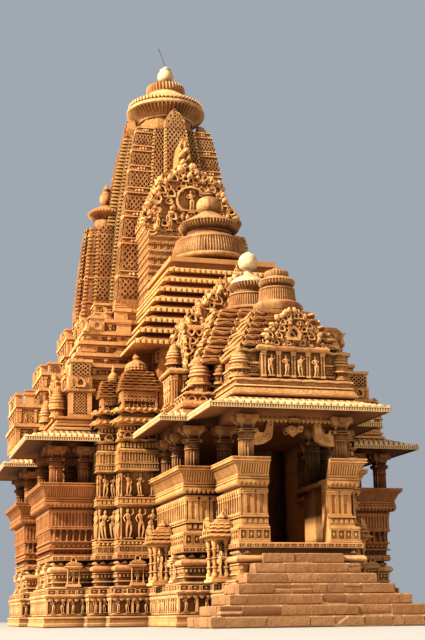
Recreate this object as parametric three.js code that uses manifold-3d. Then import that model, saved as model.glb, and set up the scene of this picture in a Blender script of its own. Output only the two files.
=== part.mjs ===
// Hindu temple of carved sandstone: entrance porch, fore-hall, great hall with side balconies,
// and a sanctum with three balconies under a curved spire. Millimetres, +Z up, the entrance faces -Y,
// and the origin is on the ground at the middle of the whole building.

import * as THREE from 'three';
import { mergeVertices } from 'three/addons/utils/BufferGeometryUtils.js';
import Module from 'manifold-3d';

const wasm = await Module();
wasm.setup();

// Driving dimensions along the axis, counted from the front edge of the porch eave
const ORIGIN_Y = 11280.5;
const PORCH_FRONT = 600;
const PORCH_AXIS = 1750;
const PORCH_PEAK = 2050;
const FOREHALL_FRONT = 3000;
const FOREHALL_AXIS = 5050;
const HALL_FRONT = 6900;
const HALL_AXIS = 10050;
const HALL_REAR = 12500;
const SANCTUM_FRONT = 14200;
const SANCTUM_AXIS = 17400;

// Half widths of the walls
const ENTRANCE_HALF = 900;
const PORCH_HALF = 1700;
const FOREHALL_HALF = 2700;
const PIER_INNER = 3950;
const PIER_OUTER = 4550;
const BALCONY_REACH = 6170;
const BALCONY_HALF = 1850;
const BALCONY_BASE_INSET = 320;
const LINK_HALF = 4100;
const SANCTUM_STEPS = [4100, 4750, 5100];
const SANCTUM_CORNERS = [3200, 2400];

// Heights
const FLOOR = 2300;
const SEAT_TOP = 4150;
const SEAT_BACK_TOP = 4700;
const BEAM_BOTTOM = 5970;
const EAVE_EDGE_BOTTOM = 6080;
const EAVE_EDGE_TOP = 6190;
const EAVE_TOP = 6520;
const CORNICE_BOTTOM = 6530;
const WALL_TOP = 7000;
const CEILING_TOP = 7300;
const TOWER_BASE = 13000;
const SPIRE_TOP = 24900;
const ROD_TOP = 25800;

// Stair
const STEP_COUNT = 7;
const RISER = FLOOR / (STEP_COUNT + 1);
const TREAD = 357;
const SIDE_TREAD = 350;
const TOP_STEP_HALF = 1200;

// Sides of the round pieces
const ROUND = 20;

// Wall and pillar thicknesses
const PARAPET_THICKNESS = 500;
const SEAT_BACK_THICKNESS = 90;
const PILLAR_WIDTH = 340;
const WALL_INNER_FRONT = 8100;

const SANDSTONE = 0xc9925a;
const WARM_SANDSTONE = 0xb97c48;
const PALE_STONE = 0xe6d6b4;
const DARK_METAL = 0x4a4642;

const temple = new THREE.Group();
temple.name = 'hindu_temple';

// Adds one named piece of the building
function piece(name, geometry, color = SANDSTONE, roughness = 0.9, metalness = 0) {
  const material = new THREE.MeshStandardMaterial({ color, roughness, metalness });
  const mesh = new THREE.Mesh(geometry, material);
  mesh.name = name;
  temple.add(mesh);
}

// Distance behind the porch eave, as a Y coordinate
function fromFront(distance) {
  return distance - ORIGIN_Y;
}

// Plans are lists of [x, y, edge]; edge names the side that starts at the point:
// undefined for an outer face, 'inner' for a face to the inside, 'flush' for a face that never moves
function place(plan) {
  return plan.map(([x, y, edge]) => [x, fromFront(y), edge]);
}

// The right half of a plan, front to back, completed by its mirror image
function bothSides(right, frontEdge, rearEdge) {
  const edges = right.map(([, , edge]) => edge);
  const last = right.length - 1;
  const rightSide = right.map(([x, y], i) => [x, y, i === last ? rearEdge : edges[i]]);
  const leftSide = [];
  for (let i = last; i >= 0; i -= 1) {
    leftSide.push([-right[i][0], right[i][1], i === 0 ? frontEdge : edges[i - 1]]);
  }
  return rightSide.concat(leftSide);
}

// A band along an open path, with the outer face on the path and the inner face behind it
function band(path, thickness) {
  const outer = path.map(([x, y], i) => [x, y, i === path.length - 1 ? 'flush' : undefined]);
  const inner = [];
  for (let i = path.length - 1; i >= 0; i -= 1) {
    const before = path[Math.max(i - 1, 0)];
    const here = path[i];
    const after = path[Math.min(i + 1, path.length - 1)];
    const first = leftNormal(i === 0 ? here : before, i === 0 ? after : here);
    const second = leftNormal(i === path.length - 1 ? before : here, i === path.length - 1 ? here : after);
    const corner = meet(here, first, thickness, second, thickness);
    inner.push([corner[0], corner[1], i === 0 ? 'flush' : 'inner']);
  }
  return outer.concat(inner);
}

function leftNormal(a, b) {
  const length = Math.hypot(b[0] - a[0], b[1] - a[1]);
  return [-(b[1] - a[1]) / length, (b[0] - a[0]) / length];
}

// Where two lines meet once each has moved along its normal
function meet(point, n1, d1, n2, d2) {
  const cross = n1[0] * n2[1] - n1[1] * n2[0];
  if (Math.abs(cross) < 1e-6) {
    return [point[0] + n1[0] * d1, point[1] + n1[1] * d1];
  }
  return [point[0] + (d1 * n2[1] - d2 * n1[1]) / cross, point[1] + (d2 * n1[0] - d1 * n2[0]) / cross];
}

// A plan with its outer faces moved out by one distance and its inner faces by another
function spread(plan, outward, inward = 0) {
  const reach = (edge) => (edge === 'flush' ? 0 : edge === 'inner' ? inward : outward * (edge ?? 1));
  return plan.map((point, i) => {
    const before = plan[(i + plan.length - 1) % plan.length];
    const after = plan[(i + 1) % plan.length];
    const n1 = leftNormal(before, point).map((v) => -v);
    const n2 = leftNormal(point, after).map((v) => -v);
    return meet(point, n1, reach(before[2]), n2, reach(point[2]));
  });
}

// A closed solid through rings of equal point counts, each ring a list of [x, y] with its height
function loft(rings) {
  const count = rings[0].points.length;
  const positions = [];
  const index = [];
  for (const { points, z } of rings) {
    for (const [x, y] of points) {
      positions.push(x, y, z);
    }
  }
  for (let r = 0; r < rings.length - 1; r += 1) {
    for (let i = 0; i < count; i += 1) {
      const a = r * count + i;
      const b = r * count + ((i + 1) % count);
      index.push(a, b, b + count, a, b + count, a + count);
    }
  }
  const corners = (points) => points.map(([x, y]) => new THREE.Vector2(x, y));
  const cap = (points) => THREE.ShapeUtils.triangulateShape(corners(points), []);
  for (const [a, b, c] of cap(rings[0].points)) {
    index.push(a, c, b);
  }
  const top = (rings.length - 1) * count;
  for (const [a, b, c] of cap(rings[rings.length - 1].points)) {
    index.push(top + a, top + b, top + c);
  }
  const geometry = new THREE.BufferGeometry();
  geometry.setAttribute('position', new THREE.Float32BufferAttribute(positions, 3));
  geometry.setIndex(index);
  return geometry;
}

// Mouldings run round a plan; levels are [height, outward, inward]
function moulded(plan, levels) {
  return loft(levels.map(([z, outward, inward]) => ({ points: spread(plan, outward, inward), z })));
}

function block(x0, x1, y0, y1, z0, z1) {
  const geometry = new THREE.BoxGeometry(x1 - x0, y1 - y0, z1 - z0);
  geometry.translate((x0 + x1) / 2, fromFront((y0 + y1) / 2), (z0 + z1) / 2);
  return geometry;
}

// A round piece on a vertical axis; the profile is [radius, height] from axis to axis
function turned(x, y, profile, segments) {
  const geometry = new THREE.LatheGeometry(profile.map(([r, z]) => new THREE.Vector2(r, z)), segments);
  geometry.rotateX(Math.PI / 2);
  geometry.translate(x, fromFront(y), 0);
  return geometry;
}

// An upright outline of [x, z] points, as thick as it is deep along Y
function upright(outline, y0, y1) {
  const shape = new THREE.Shape(outline.map(([x, z]) => new THREE.Vector2(x, z)));
  const geometry = new THREE.ExtrudeGeometry(shape, { depth: y1 - y0, bevelEnabled: false, curveSegments: 6 });
  geometry.rotateX(Math.PI / 2);
  geometry.translate(0, fromFront(y1), 0);
  return geometry;
}

function mirrored(geometry) {
  const copy = geometry.clone();
  copy.scale(-1, 1, 1);
  const index = copy.index.array;
  for (let i = 0; i < index.length; i += 3) {
    [index[i], index[i + 1]] = [index[i + 1], index[i]];
  }
  return copy;
}

// Turns a piece of the right-hand side round the sanctum's axis to its rear
function turnedToRear(geometry) {
  const copy = geometry.clone();
  const axis = fromFront(SANCTUM_AXIS);
  copy.translate(0, -axis, 0);
  copy.rotateZ(Math.PI / 2);
  copy.translate(0, axis, 0);
  const position = copy.attributes.position;
  for (let i = 0; i < position.array.length; i += 1) {
    position.array[i] = Math.round(position.array[i] * 100) / 100;
  }
  return copy;
}

// Joining and cutting
function solid(geometry) {
  const bare = geometry.clone();
  bare.deleteAttribute('normal');
  bare.deleteAttribute('uv');
  const merged = mergeVertices(bare, 0.01);
  const vertProperties = Float32Array.from(merged.attributes.position.array);
  const triVerts = Uint32Array.from(merged.index.array);
  return new wasm.Manifold(new wasm.Mesh({ numProp: 3, vertProperties, triVerts }));
}

function geometryOf(manifold) {
  const { vertProperties, triVerts } = manifold.getMesh();
  const geometry = new THREE.BufferGeometry();
  geometry.setAttribute('position', new THREE.BufferAttribute(Float32Array.from(vertProperties), 3));
  geometry.setIndex(new THREE.BufferAttribute(Uint32Array.from(triVerts), 1));
  return geometry;
}

function joined(...geometries) {
  return geometryOf(geometries.map(solid).reduce((whole, next) => whole.add(next)));
}

function cut(geometry, ...tools) {
  return geometryOf(tools.map(solid).reduce((rest, tool) => rest.subtract(tool), solid(geometry)));
}

// The stretch of a piece between two distances from the front
const FAR = 40000;
function stretch(geometry, y0, y1) {
  return geometryOf(solid(geometry).intersect(solid(block(-FAR, FAR, y0, y1, -FAR, FAR))));
}

// Puts a right-hand piece and its mirror image in the building
function pair(name, geometry, color) {
  piece(`${name}_right`, geometry, color);
  piece(`${name}_left`, mirrored(geometry), color);
}

// Plans

const HALL_BALCONY = [HALL_AXIS - BALCONY_HALF, HALL_AXIS + BALCONY_HALF];
const SANCTUM_BALCONY = [SANCTUM_AXIS - BALCONY_HALF, SANCTUM_AXIS + BALCONY_HALF];
const [STEP_A, STEP_B, STEP_C] = SANCTUM_STEPS;
const [CORNER_A, CORNER_B] = SANCTUM_CORNERS;

// Corners of the sanctum's wall from the side balcony to the rear one, on the right
function sanctumRearCorner() {
  const axis = SANCTUM_AXIS;
  return [
    [STEP_C, axis + BALCONY_HALF],
    [STEP_C, axis + CORNER_B],
    [STEP_B, axis + CORNER_B],
    [STEP_B, axis + CORNER_A],
    [STEP_A, axis + CORNER_A],
    [STEP_A, axis + STEP_A],
    [CORNER_A, axis + STEP_A],
    [CORNER_A, axis + STEP_B],
    [CORNER_B, axis + STEP_B],
    [CORNER_B, axis + STEP_C],
    [BALCONY_HALF, axis + STEP_C],
  ];
}

// Corners of the wall between the great hall's balcony and the sanctum's, on the right
function linkCorner() {
  return [
    [PIER_OUTER, HALL_BALCONY[1]],
    [PIER_OUTER, HALL_REAR],
    [LINK_HALF, HALL_REAR],
    [LINK_HALF, SANCTUM_FRONT],
    [STEP_B, SANCTUM_FRONT],
    [STEP_B, SANCTUM_AXIS - CORNER_B],
    [STEP_C, SANCTUM_AXIS - CORNER_B],
    [STEP_C, SANCTUM_BALCONY[0]],
  ];
}

function hallFrontCorner() {
  return [
    [FOREHALL_HALF, HALL_FRONT],
    [PIER_INNER, HALL_FRONT],
    [PIER_INNER, HALL_FRONT + 700],
    [PIER_OUTER, HALL_FRONT + 700],
    [PIER_OUTER, HALL_BALCONY[0]],
  ];
}

const FRONT_PATH = [
  [ENTRANCE_HALF, PORCH_FRONT],
  [PORCH_HALF, PORCH_FRONT],
  [PORCH_HALF, FOREHALL_FRONT],
  [FOREHALL_HALF, FOREHALL_FRONT],
  [FOREHALL_HALF, HALL_FRONT],
];

// Where the pieces of porch, fore-hall, hall and sanctum meet
const PORCH_CUT = 2500;
const FOREHALL_CUT = HALL_FRONT - 450;
const HALL_CUT = 13350;

// Base mouldings, one course round the whole building, cut into its four parts
const baseReach = BALCONY_REACH - BALCONY_BASE_INSET;
const baseSide = 100;
const basePlan = place(bothSides([
  [PORCH_HALF, PORCH_FRONT],
  [PORCH_HALF, FOREHALL_FRONT],
  [FOREHALL_HALF, FOREHALL_FRONT],
  ...hallFrontCorner().slice(0, 4),
  [PIER_OUTER, HALL_BALCONY[0] + baseSide],
  [baseReach, HALL_BALCONY[0] + baseSide],
  [baseReach, HALL_BALCONY[1] - baseSide],
  [PIER_OUTER, HALL_BALCONY[1] - baseSide],
  ...linkCorner().slice(1, 7),
  [STEP_C, SANCTUM_BALCONY[0] + baseSide],
  [baseReach, SANCTUM_BALCONY[0] + baseSide],
  [baseReach, SANCTUM_BALCONY[1] - baseSide],
  [STEP_C, SANCTUM_BALCONY[1] - baseSide],
  ...sanctumRearCorner().slice(1, 10),
  [BALCONY_HALF - baseSide, SANCTUM_AXIS + STEP_C],
  [BALCONY_HALF - baseSide, SANCTUM_AXIS + baseReach],
]));
const BASE_LEVELS = [
  [0, 420],
  [340, 420],
  [340, 300],
  [960, 300],
  [1020, 400],
  [1240, 250],
  [1300, 110],
  [1740, 110],
  [1855, 190],
  [1970, 0],
  [2240, 0],
  [2240, 150],
  [FLOOR, 150],
];
const base = moulded(basePlan, BASE_LEVELS);

// Entrance stair: a stepped pyramid with treads on three sides
function stepHalf(k) {
  return TOP_STEP_HALF + SIDE_TREAD * (STEP_COUNT - k);
}
const steps = [];
for (let k = 1; k <= STEP_COUNT; k += 1) {
  const front = PORCH_FRONT - TREAD * (STEP_COUNT + 1 - k);
  steps.push(block(-stepHalf(k), stepHalf(k), front, PORCH_FRONT, RISER * (k - 1), RISER * k));
}
piece('entrance_stairs', joined(...steps), WARM_SANDSTONE);
piece('porch_base', cut(stretch(base, -FAR, PORCH_CUT), ...steps));
piece('forehall_base', stretch(base, PORCH_CUT, FOREHALL_CUT));
piece('great_hall_base', stretch(base, FOREHALL_CUT, HALL_CUT));
piece('sanctum_base', stretch(base, HALL_CUT, FAR));

// Parapets with a seat on top, and the pillars that stand on the seat
const PARAPET_LEVELS = [
  [FLOOR, 110, 0],
  [2760, 80, 0],
  [2760, 20, 0],
  [3170, -50, 0],
  [3880, -50, 0],
  [4020, 120, 0],
  [4020, 120, 200],
  [SEAT_TOP, 120, 200],
];
const BALCONY_PARAPET_LEVELS = [
  [FLOOR, -220, 0],
  [2760, -120, 0],
  [2960, -240, 0],
  [3200, -240, 0],
  [3200, -60, 0],
  [3880, -110, 0],
  [4020, 120, 0],
  [4020, 120, 200],
  [SEAT_TOP, 120, 200],
];
const PILLAR_LEVELS = [
  [SEAT_TOP - 20, 0],
  [5460, 0],
  [5475, 80],
  [5560, 80],
  [5580, 20],
  [5700, 40],
  [5840, 150],
  [BEAM_BOTTOM, 150],
];

function pillar(x, y, grow = 0) {
  const half = PILLAR_WIDTH / 2 + grow;
  const plan = place([
    [x - half, y - half],
    [x + half, y - half],
    [x + half, y + half],
    [x - half, y + half],
  ]);
  return moulded(plan, PILLAR_LEVELS);
}

const SEAT_BACK_LEVELS = [
  [SEAT_TOP, 50, 0],
  [4580, 270, -220],
  [4580, 320, -220],
  [SEAT_BACK_TOP, 320, -220],
];

const frontParapet = moulded(place(band(FRONT_PATH, PARAPET_THICKNESS)), PARAPET_LEVELS);
const frontSeatBack = moulded(place(band(FRONT_PATH, SEAT_BACK_THICKNESS)), SEAT_BACK_LEVELS);
const porchPillarX = PORCH_HALF - 260;
const forehallPillarX = FOREHALL_HALF - 260;
const entrancePillarY = PORCH_FRONT + 300;
pair('porch_parapet', joined(
  stretch(frontParapet, -FAR, PORCH_CUT),
  pillar(porchPillarX, entrancePillarY),
));
pair('forehall_parapet', joined(
  stretch(frontParapet, PORCH_CUT, HALL_FRONT),
  pillar(porchPillarX, FOREHALL_FRONT + 250),
  pillar(forehallPillarX, FOREHALL_FRONT + 300),
  pillar(forehallPillarX, FOREHALL_AXIS),
  pillar(forehallPillarX, HALL_FRONT - 360),
));
pair('front_seat_back', frontSeatBack);

// Sculptured walls from the floor to the roofs
const WALL_LEVELS = [
  [FLOOR, 90],
  [2760, 90],
  [2760, -20],
  [3900, -20],
  [3900, 80],
  [SEAT_TOP, 80],
  [SEAT_TOP, -20],
  [5020, -20],
  [5020, 110],
  [5750, 60],
  [5750, 0],
  [CORNICE_BOTTOM, 0],
  [CORNICE_BOTTOM, 160],
  [6780, 160],
  [6780, 60],
  [WALL_TOP, 60],
];

// Stepped turret with a ribbed cushion and a pointed finial
const TURRET_TIERS = 3;
function turret(x0, x1, y0, y1, z0, height) {
  const plan = place([[x0, y0], [x1, y0], [x1, y1], [x0, y1]]);
  const drum = 0.34 * height;
  const tierRise = (0.34 * height) / TURRET_TIERS;
  const width = Math.min(x1 - x0, y1 - y0);
  const levels = [
    [z0, 40],
    [z0 + 0.35 * drum, -60],
    [z0 + drum, -60],
  ];
  for (let k = 0; k < TURRET_TIERS; k += 1) {
    const z = z0 + drum + k * tierRise;
    const out = 40 - (k * width * 0.26) / TURRET_TIERS;
    levels.push([z, out], [z + 0.55 * tierRise, out]);
  }
  const cap = z0 + drum + TURRET_TIERS * tierRise;
  const radius = 0.33 * width;
  levels.push([cap, -0.3 * width]);
  const bell = turned((x0 + x1) / 2, (y0 + y1) / 2, [
    [0, cap - 20],
    [radius, cap + 0.05 * height],
    [radius, cap + 0.12 * height],
    [radius * 0.25, cap + 0.2 * height],
    [0, z0 + height],
  ], 10);
  return joined(moulded(plan, levels), bell);
}

// Small round turret: a drum under rings that close like a bud
const BUD_RINGS = 4;
function bud(x, y, radius, z0, z1) {
  const height = z1 - z0;
  const profile = [
    [0, z0],
    [radius, z0],
    [radius, z0 + 0.1 * height],
    [0.82 * radius, z0 + 0.16 * height],
    [0.82 * radius, z0 + 0.3 * height],
  ];
  for (let k = 0; k < BUD_RINGS; k += 1) {
    const ring = radius * (1 - 0.5 * (k / BUD_RINGS) ** 1.6);
    const z = z0 + (0.32 + 0.13 * k) * height;
    profile.push([ring, z], [0.9 * ring, z + 0.11 * height]);
  }
  profile.push([0.42 * radius, z0 + 0.92 * height], [0, z1]);
  return turned(x, y, profile, 10);
}

const frontWallInner = FOREHALL_HALF - PARAPET_THICKNESS;
const frontWallBody = moulded(place([
  [frontWallInner, HALL_FRONT],
  ...hallFrontCorner().slice(1, 4),
  [PIER_OUTER, HALL_BALCONY[0], 'flush'],
  [PIER_OUTER - 900, HALL_BALCONY[0], 'flush'],
  [PIER_OUTER - 900, WALL_INNER_FRONT, 'flush'],
  [frontWallInner, WALL_INNER_FRONT, 'flush'],
]), WALL_LEVELS);
// The mouldings stop against the fore-hall's parapet and the back of its seat
const hallFrontWall = cut(
  frontWallBody,
  block(frontWallInner - 10, FOREHALL_HALF + 130, 6000, HALL_FRONT, 0, WALL_TOP + 10),
  block(frontWallInner - 10, FOREHALL_HALF + 340, 6000, HALL_FRONT, SEAT_TOP, SEAT_BACK_TOP),
);
const turretTop = 9170;
const frontTurrets = joined(
  turret(FOREHALL_HALF + 30, PIER_INNER - 20, HALL_FRONT + 20, WALL_INNER_FRONT - 20,
    WALL_TOP - 10, turretTop - WALL_TOP + 10),
  turret(PIER_INNER - 300, PIER_OUTER - 60, HALL_FRONT + 720, HALL_BALCONY[0] - 60, WALL_TOP - 10, 1750),
);
pair('great_hall_front_wall', joined(hallFrontWall, frontTurrets));

const linkWall = moulded(place([
  ...linkCorner().slice(0, 7),
  [STEP_C, SANCTUM_BALCONY[0], 'flush'],
  [STEP_C - 900, SANCTUM_BALCONY[0], 'flush'],
  [STEP_C - 900, SANCTUM_FRONT + 900, 'flush'],
  [LINK_HALF - 900, SANCTUM_FRONT + 900, 'flush'],
  [LINK_HALF - 900, HALL_REAR + 300, 'flush'],
  [PIER_OUTER - 900, HALL_REAR + 300, 'flush'],
  [PIER_OUTER - 900, HALL_BALCONY[1], 'flush'],
]), WALL_LEVELS);
pair('link_wall', linkWall);

const rearCorner = sanctumRearCorner();
const rearInner = [[BALCONY_HALF, 4200], [2300, 4200], [2300, 3200], [3200, 3200], [3200, 2300], [4200, 2300]];
const sanctumRearWall = moulded(place([
  ...rearCorner.slice(0, 10),
  [...rearCorner[10], 'flush'],
  ...rearInner.map(([x, y]) => [x, SANCTUM_AXIS + y, 'flush']),
  [STEP_C - 900, SANCTUM_BALCONY[1], 'flush'],
]), WALL_LEVELS);
pair('sanctum_rear_wall', sanctumRearWall);

// A balcony on the right-hand side, with its wall line and its axis
function balconyPath(wall, axis) {
  return [
    [wall, axis - BALCONY_HALF],
    [BALCONY_REACH, axis - BALCONY_HALF],
    [BALCONY_REACH, axis + BALCONY_HALF],
    [wall, axis + BALCONY_HALF],
  ];
}
function balconyParapet(wall, axis) {
  const cornerX = BALCONY_REACH - 270;
  const side = BALCONY_HALF - 270;
  return joined(
    moulded(place(band(balconyPath(wall, axis), PARAPET_THICKNESS)), BALCONY_PARAPET_LEVELS),
    pillar(cornerX, axis - side),
    pillar(cornerX, axis + side),
  );
}
function balconySeatBack(wall, axis) {
  return moulded(place(band(balconyPath(wall, axis), SEAT_BACK_THICKNESS)), SEAT_BACK_LEVELS);
}
const jambPillarX = PIER_OUTER + 380;
const hallBalcony = joined(
  balconyParapet(PIER_OUTER, HALL_AXIS),
  pillar(jambPillarX, HALL_BALCONY[0] + 270),
  pillar(jambPillarX, HALL_BALCONY[1] - 270),
);
const sanctumBalcony = cut(balconyParapet(STEP_C, SANCTUM_AXIS), linkWall, sanctumRearWall);
const sanctumSeatBack = balconySeatBack(STEP_C, SANCTUM_AXIS);
pair('great_hall_balcony', cut(hallBalcony, frontWallBody, linkWall));
pair('great_hall_seat_back', balconySeatBack(PIER_OUTER, HALL_AXIS));
pair('sanctum_balcony', sanctumBalcony);
pair('sanctum_seat_back', sanctumSeatBack);
piece('rear_balcony', turnedToRear(sanctumBalcony));
piece('rear_seat_back', turnedToRear(sanctumSeatBack));

// Ceiling slabs with beams below and sloping eaves all round
const EAVE_LEVELS = [
  [BEAM_BOTTOM, 0],
  [6250, 0],
  [EAVE_EDGE_BOTTOM, 1000],
  [EAVE_EDGE_TOP, 1000],
  [EAVE_TOP, 60],
];
const beamX = 20;
const sideReach = 1.05;
const frontEaves = moulded(place(bothSides([
  [PORCH_HALF - beamX, PORCH_FRONT + 120, sideReach],
  [PORCH_HALF - beamX, FOREHALL_FRONT + 150, 0.47],
  [FOREHALL_HALF - beamX, FOREHALL_FRONT + 150, 0.9],
  [FOREHALL_HALF - beamX, HALL_FRONT, 'flush'],
], 0.72, 'flush')), EAVE_LEVELS);
const forehallLintel = block(-2200, 2200, HALL_FRONT - 20, WALL_INNER_FRONT, BEAM_BOTTOM, WALL_TOP);
piece('porch_eave', stretch(frontEaves, -FAR, PORCH_CUT));
piece('forehall_eave', joined(stretch(frontEaves, PORCH_CUT, HALL_FRONT), forehallLintel));

function balconyEave(wall, axis) {
  const side = BALCONY_HALF - 90;
  const plan = place([
    [wall, axis - side, 0.8],
    [BALCONY_REACH - 90, axis - side, 0.98],
    [BALCONY_REACH - 90, axis + side, 0.8],
    [wall, axis + side, 'flush'],
  ]);
  const lintel = block(wall - 900, wall + 20, axis - BALCONY_HALF, axis + BALCONY_HALF, BEAM_BOTTOM, WALL_TOP);
  return joined(moulded(plan, EAVE_LEVELS), lintel);
}
const sanctumEave = balconyEave(STEP_C, SANCTUM_AXIS);
pair('great_hall_eave', balconyEave(PIER_OUTER, HALL_AXIS));
pair('sanctum_eave', sanctumEave);
piece('rear_eave', turnedToRear(sanctumEave));

// Hanging ornament in the entrance: a band under the beam, two curled brackets and a bud between them
const BRACKET = [
  [1300, 5110],
  [1150, 5110],
  [930, 5150],
  [740, 5260],
  [660, 5400],
  [640, 5580],
  [620, 5800],
  [620, 5930],
  [800, 5930],
  [850, 5720],
  [880, 5540],
  [950, 5470],
  [1060, 5480],
  [1120, 5600],
  [1300, 5600],
];
const entranceBracket = joined(upright(BRACKET, entrancePillarY - 110, entrancePillarY + 110));
const entranceBand = block(-1300, 1300, entrancePillarY - 130, entrancePillarY + 130, 5870, BEAM_BOTTOM);
const entranceBud = turned(0, entrancePillarY, [
  [0, 5370],
  [90, 5440],
  [230, 5560],
  [250, 5640],
  [130, 5740],
  [280, 5860],
  [280, 5900],
  [0, 5900],
], 12);
piece('entrance_arch', cut(
  joined(entranceBand, entranceBracket, mirrored(entranceBracket), entranceBud),
  pillar(porchPillarX, entrancePillarY, 0.5),
  pillar(-porchPillarX, entrancePillarY, 0.5),
), WARM_SANDSTONE);

// Roof of the porch: courses, a niche block with a gable, and curved tiers
function squarePlan(halfX, halfY, axis) {
  return place([[-halfX, axis - halfY], [halfX, axis - halfY], [halfX, axis + halfY], [-halfX, axis + halfY]]);
}

// A square plan with a wider cross through it
function crossPlan(halfX, halfY, axis, cross, project) {
  return place(bothSides([
    [cross, axis - halfY - project],
    [cross, axis - halfY],
    [halfX, axis - halfY],
    [halfX, axis - cross],
    [halfX + project, axis - cross],
    [halfX + project, axis + cross],
    [halfX, axis + cross],
    [halfX, axis + halfY],
    [cross, axis + halfY],
    [cross, axis + halfY + project],
  ]));
}

// Overhanging tiers that shrink with height
function tiers(plan, z0, z1, count, shrink, lip, start = 0) {
  const levels = [];
  const rise = (z1 - z0) / count;
  for (let k = 0; k < count; k += 1) {
    const out = start - (shrink * k) / count;
    const z = z0 + k * rise;
    levels.push([z, out - lip], [z, out], [z + 0.3 * rise, out], [z + 0.6 * rise, out - lip]);
  }
  levels.push([z1, start - shrink]);
  return moulded(plan, levels);
}

function gable(half, z0, z1, y0, y1, x = 0) {
  const outline = [
    [x - half, z0],
    [x + half, z0],
    [x + 0.82 * half, z0 + 0.34 * (z1 - z0)],
    [x + 0.5 * half, z0 + 0.68 * (z1 - z0)],
    [x + 0.18 * half, z0 + 0.92 * (z1 - z0)],
    [x, z1],
    [x - 0.18 * half, z0 + 0.92 * (z1 - z0)],
    [x - 0.5 * half, z0 + 0.68 * (z1 - z0)],
    [x - 0.82 * half, z0 + 0.34 * (z1 - z0)],
  ];
  return upright(outline, y0, y1);
}

// A gable that faces sideways, on the right of the building
function sideGable(half, z0, z1, x0, x1, axis) {
  const geometry = gable(half, z0, z1, x0, x1);
  geometry.translate(0, ORIGIN_Y, 0);
  geometry.rotateZ(Math.PI / 2);
  geometry.scale(-1, 1, 1);
  geometry.translate(0, fromFront(axis), 0);
  const index = mergeVertices(geometry, 0.01);
  for (let i = 0; i < index.index.array.length; i += 3) {
    const array = index.index.array;
    [array[i], array[i + 1]] = [array[i + 1], array[i]];
  }
  return index;
}

const PORCH_BODY_REAR = 3000;
const porchBody = moulded(squarePlan(1850, 1150, PORCH_AXIS), [
  [EAVE_TOP, 40],
  [6640, 60],
  [6760, -20],
  [6760, -60],
  [7000, -60],
  [7060, -20],
  [7120, -300],
  [8050, -300],
]);
const porchTiers = tiers(crossPlan(810, 600, PORCH_PEAK, 430, 80), 8040, 9350, 6, 650, 80, 650);
piece('porch_roof', joined(
  porchBody,
  stretch(porchTiers, -FAR, PORCH_BODY_REAR),
  block(-1000, 1000, 720, 1000, 7100, 7900),
  block(-1080, 1080, 620, 1100, 7880, 8060),
  gable(930, 8040, 9180, 680, 1150),
  bud(-1560, 1010, 300, 7100, 8050),
  bud(1560, 1010, 300, 7100, 8050),
));
piece('porch_bell', turned(0, PORCH_PEAK, [
  [0, 9350],
  [600, 9350],
  [735, 9600],
  [735, 9700],
  [580, 9780],
  [550, 10140],
  [440, 10240],
  [545, 10380],
  [545, 10480],
  [355, 10620],
  [355, 10750],
  [0, 10860],
], ROUND));

// Roof of the fore-hall
const forehallBody = moulded(place([
  [-FOREHALL_HALF, FOREHALL_AXIS - 1900],
  [FOREHALL_HALF, FOREHALL_AXIS - 1900],
  [FOREHALL_HALF, HALL_FRONT - 30, 'flush'],
  [-FOREHALL_HALF, HALL_FRONT - 30],
]), [
  [EAVE_TOP, 60],
  [6680, 80],
  [6800, 0],
  [6800, -60],
  [7000, -60],
  [7060, -100],
  [7300, -500],
  [8000, -600],
]);
const forehallTiers = tiers(crossPlan(1300, 1000, FOREHALL_AXIS, 700, 150), 7980, 10060, 6, 1000, 110, 800);
const forehallSide = joined(
  block(2000, 2760, FOREHALL_AXIS - 560, FOREHALL_AXIS + 560, 6780, 7900),
  block(2000, 2880, FOREHALL_AXIS - 680, FOREHALL_AXIS + 680, 7880, 8020),
  bud(2580, FOREHALL_AXIS, 270, 8000, 9000),
  sideGable(640, 8000, 9650, 1500, 2300, FOREHALL_AXIS),
);
piece('forehall_roof', joined(
  forehallBody,
  forehallTiers,
  forehallSide,
  mirrored(forehallSide),
  bud(2110, FOREHALL_FRONT + 560, 350, 6990, 8280),
  bud(-2110, FOREHALL_FRONT + 560, 350, 6990, 8280),
));
piece('forehall_bell', turned(0, FOREHALL_AXIS, [
  [0, 10060],
  [780, 10060],
  [920, 10180],
  [920, 10260],
  [700, 10360],
  [660, 10700],
  [520, 10900],
  [650, 11120],
  [400, 11380],
  [130, 11600],
  [290, 11760],
  [330, 11950],
  [220, 12190],
  [0, 12290],
], ROUND), PALE_STONE);

// Sculptured front of the spire, over the way into the sanctum
const sukanasaHalf = 1750;
const sukanasaFront = 12900;
const sukanasaRear = 15300;
const sukanasaBody = block(-sukanasaHalf, sukanasaHalf, sukanasaFront, sukanasaRear, CEILING_TOP, 15450);

// Spire: half width of the corner bands and reach of the middle plates beyond them, by height
const TOWER_LEVELS = [
  [13000, 2620, 520],
  [14300, 2520, 510],
  [15600, 2410, 490],
  [17000, 2260, 460],
  [18200, 2110, 420],
  [19200, 1965, 390],
  [20000, 1850, 350],
  [20700, 1720, 320],
  [21150, 1590, 340],
];
function towerRing(half, reach, grow = 0) {
  const plate = 0.26 * half + 30;
  const slot = 0.54 * half;
  const inner = half + 0.25 * reach;
  const outer = half + reach;
  const corner = [
    [plate, -outer],
    [plate, -inner],
    [slot, -inner],
    [slot, -half],
    [half, -half],
    [half, -slot],
    [inner, -slot],
    [inner, -plate],
    [outer, -plate],
    [outer, plate],
    [inner, plate],
    [inner, slot],
    [half, slot],
    [half, half],
    [slot, half],
    [slot, inner],
    [plate, inner],
    [plate, outer],
  ];
  const plan = bothSides(corner).map(([x, y]) => [x, y + fromFront(SANCTUM_AXIS)]);
  return grow ? spread(plan, grow) : plan;
}
function towerBody(grow = 0) {
  return loft(TOWER_LEVELS.map(([z, half, reach], i) => ({
    points: towerRing(half, reach, grow),
    z: z + (i === TOWER_LEVELS.length - 1 ? grow : 0),
  })));
}
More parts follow.
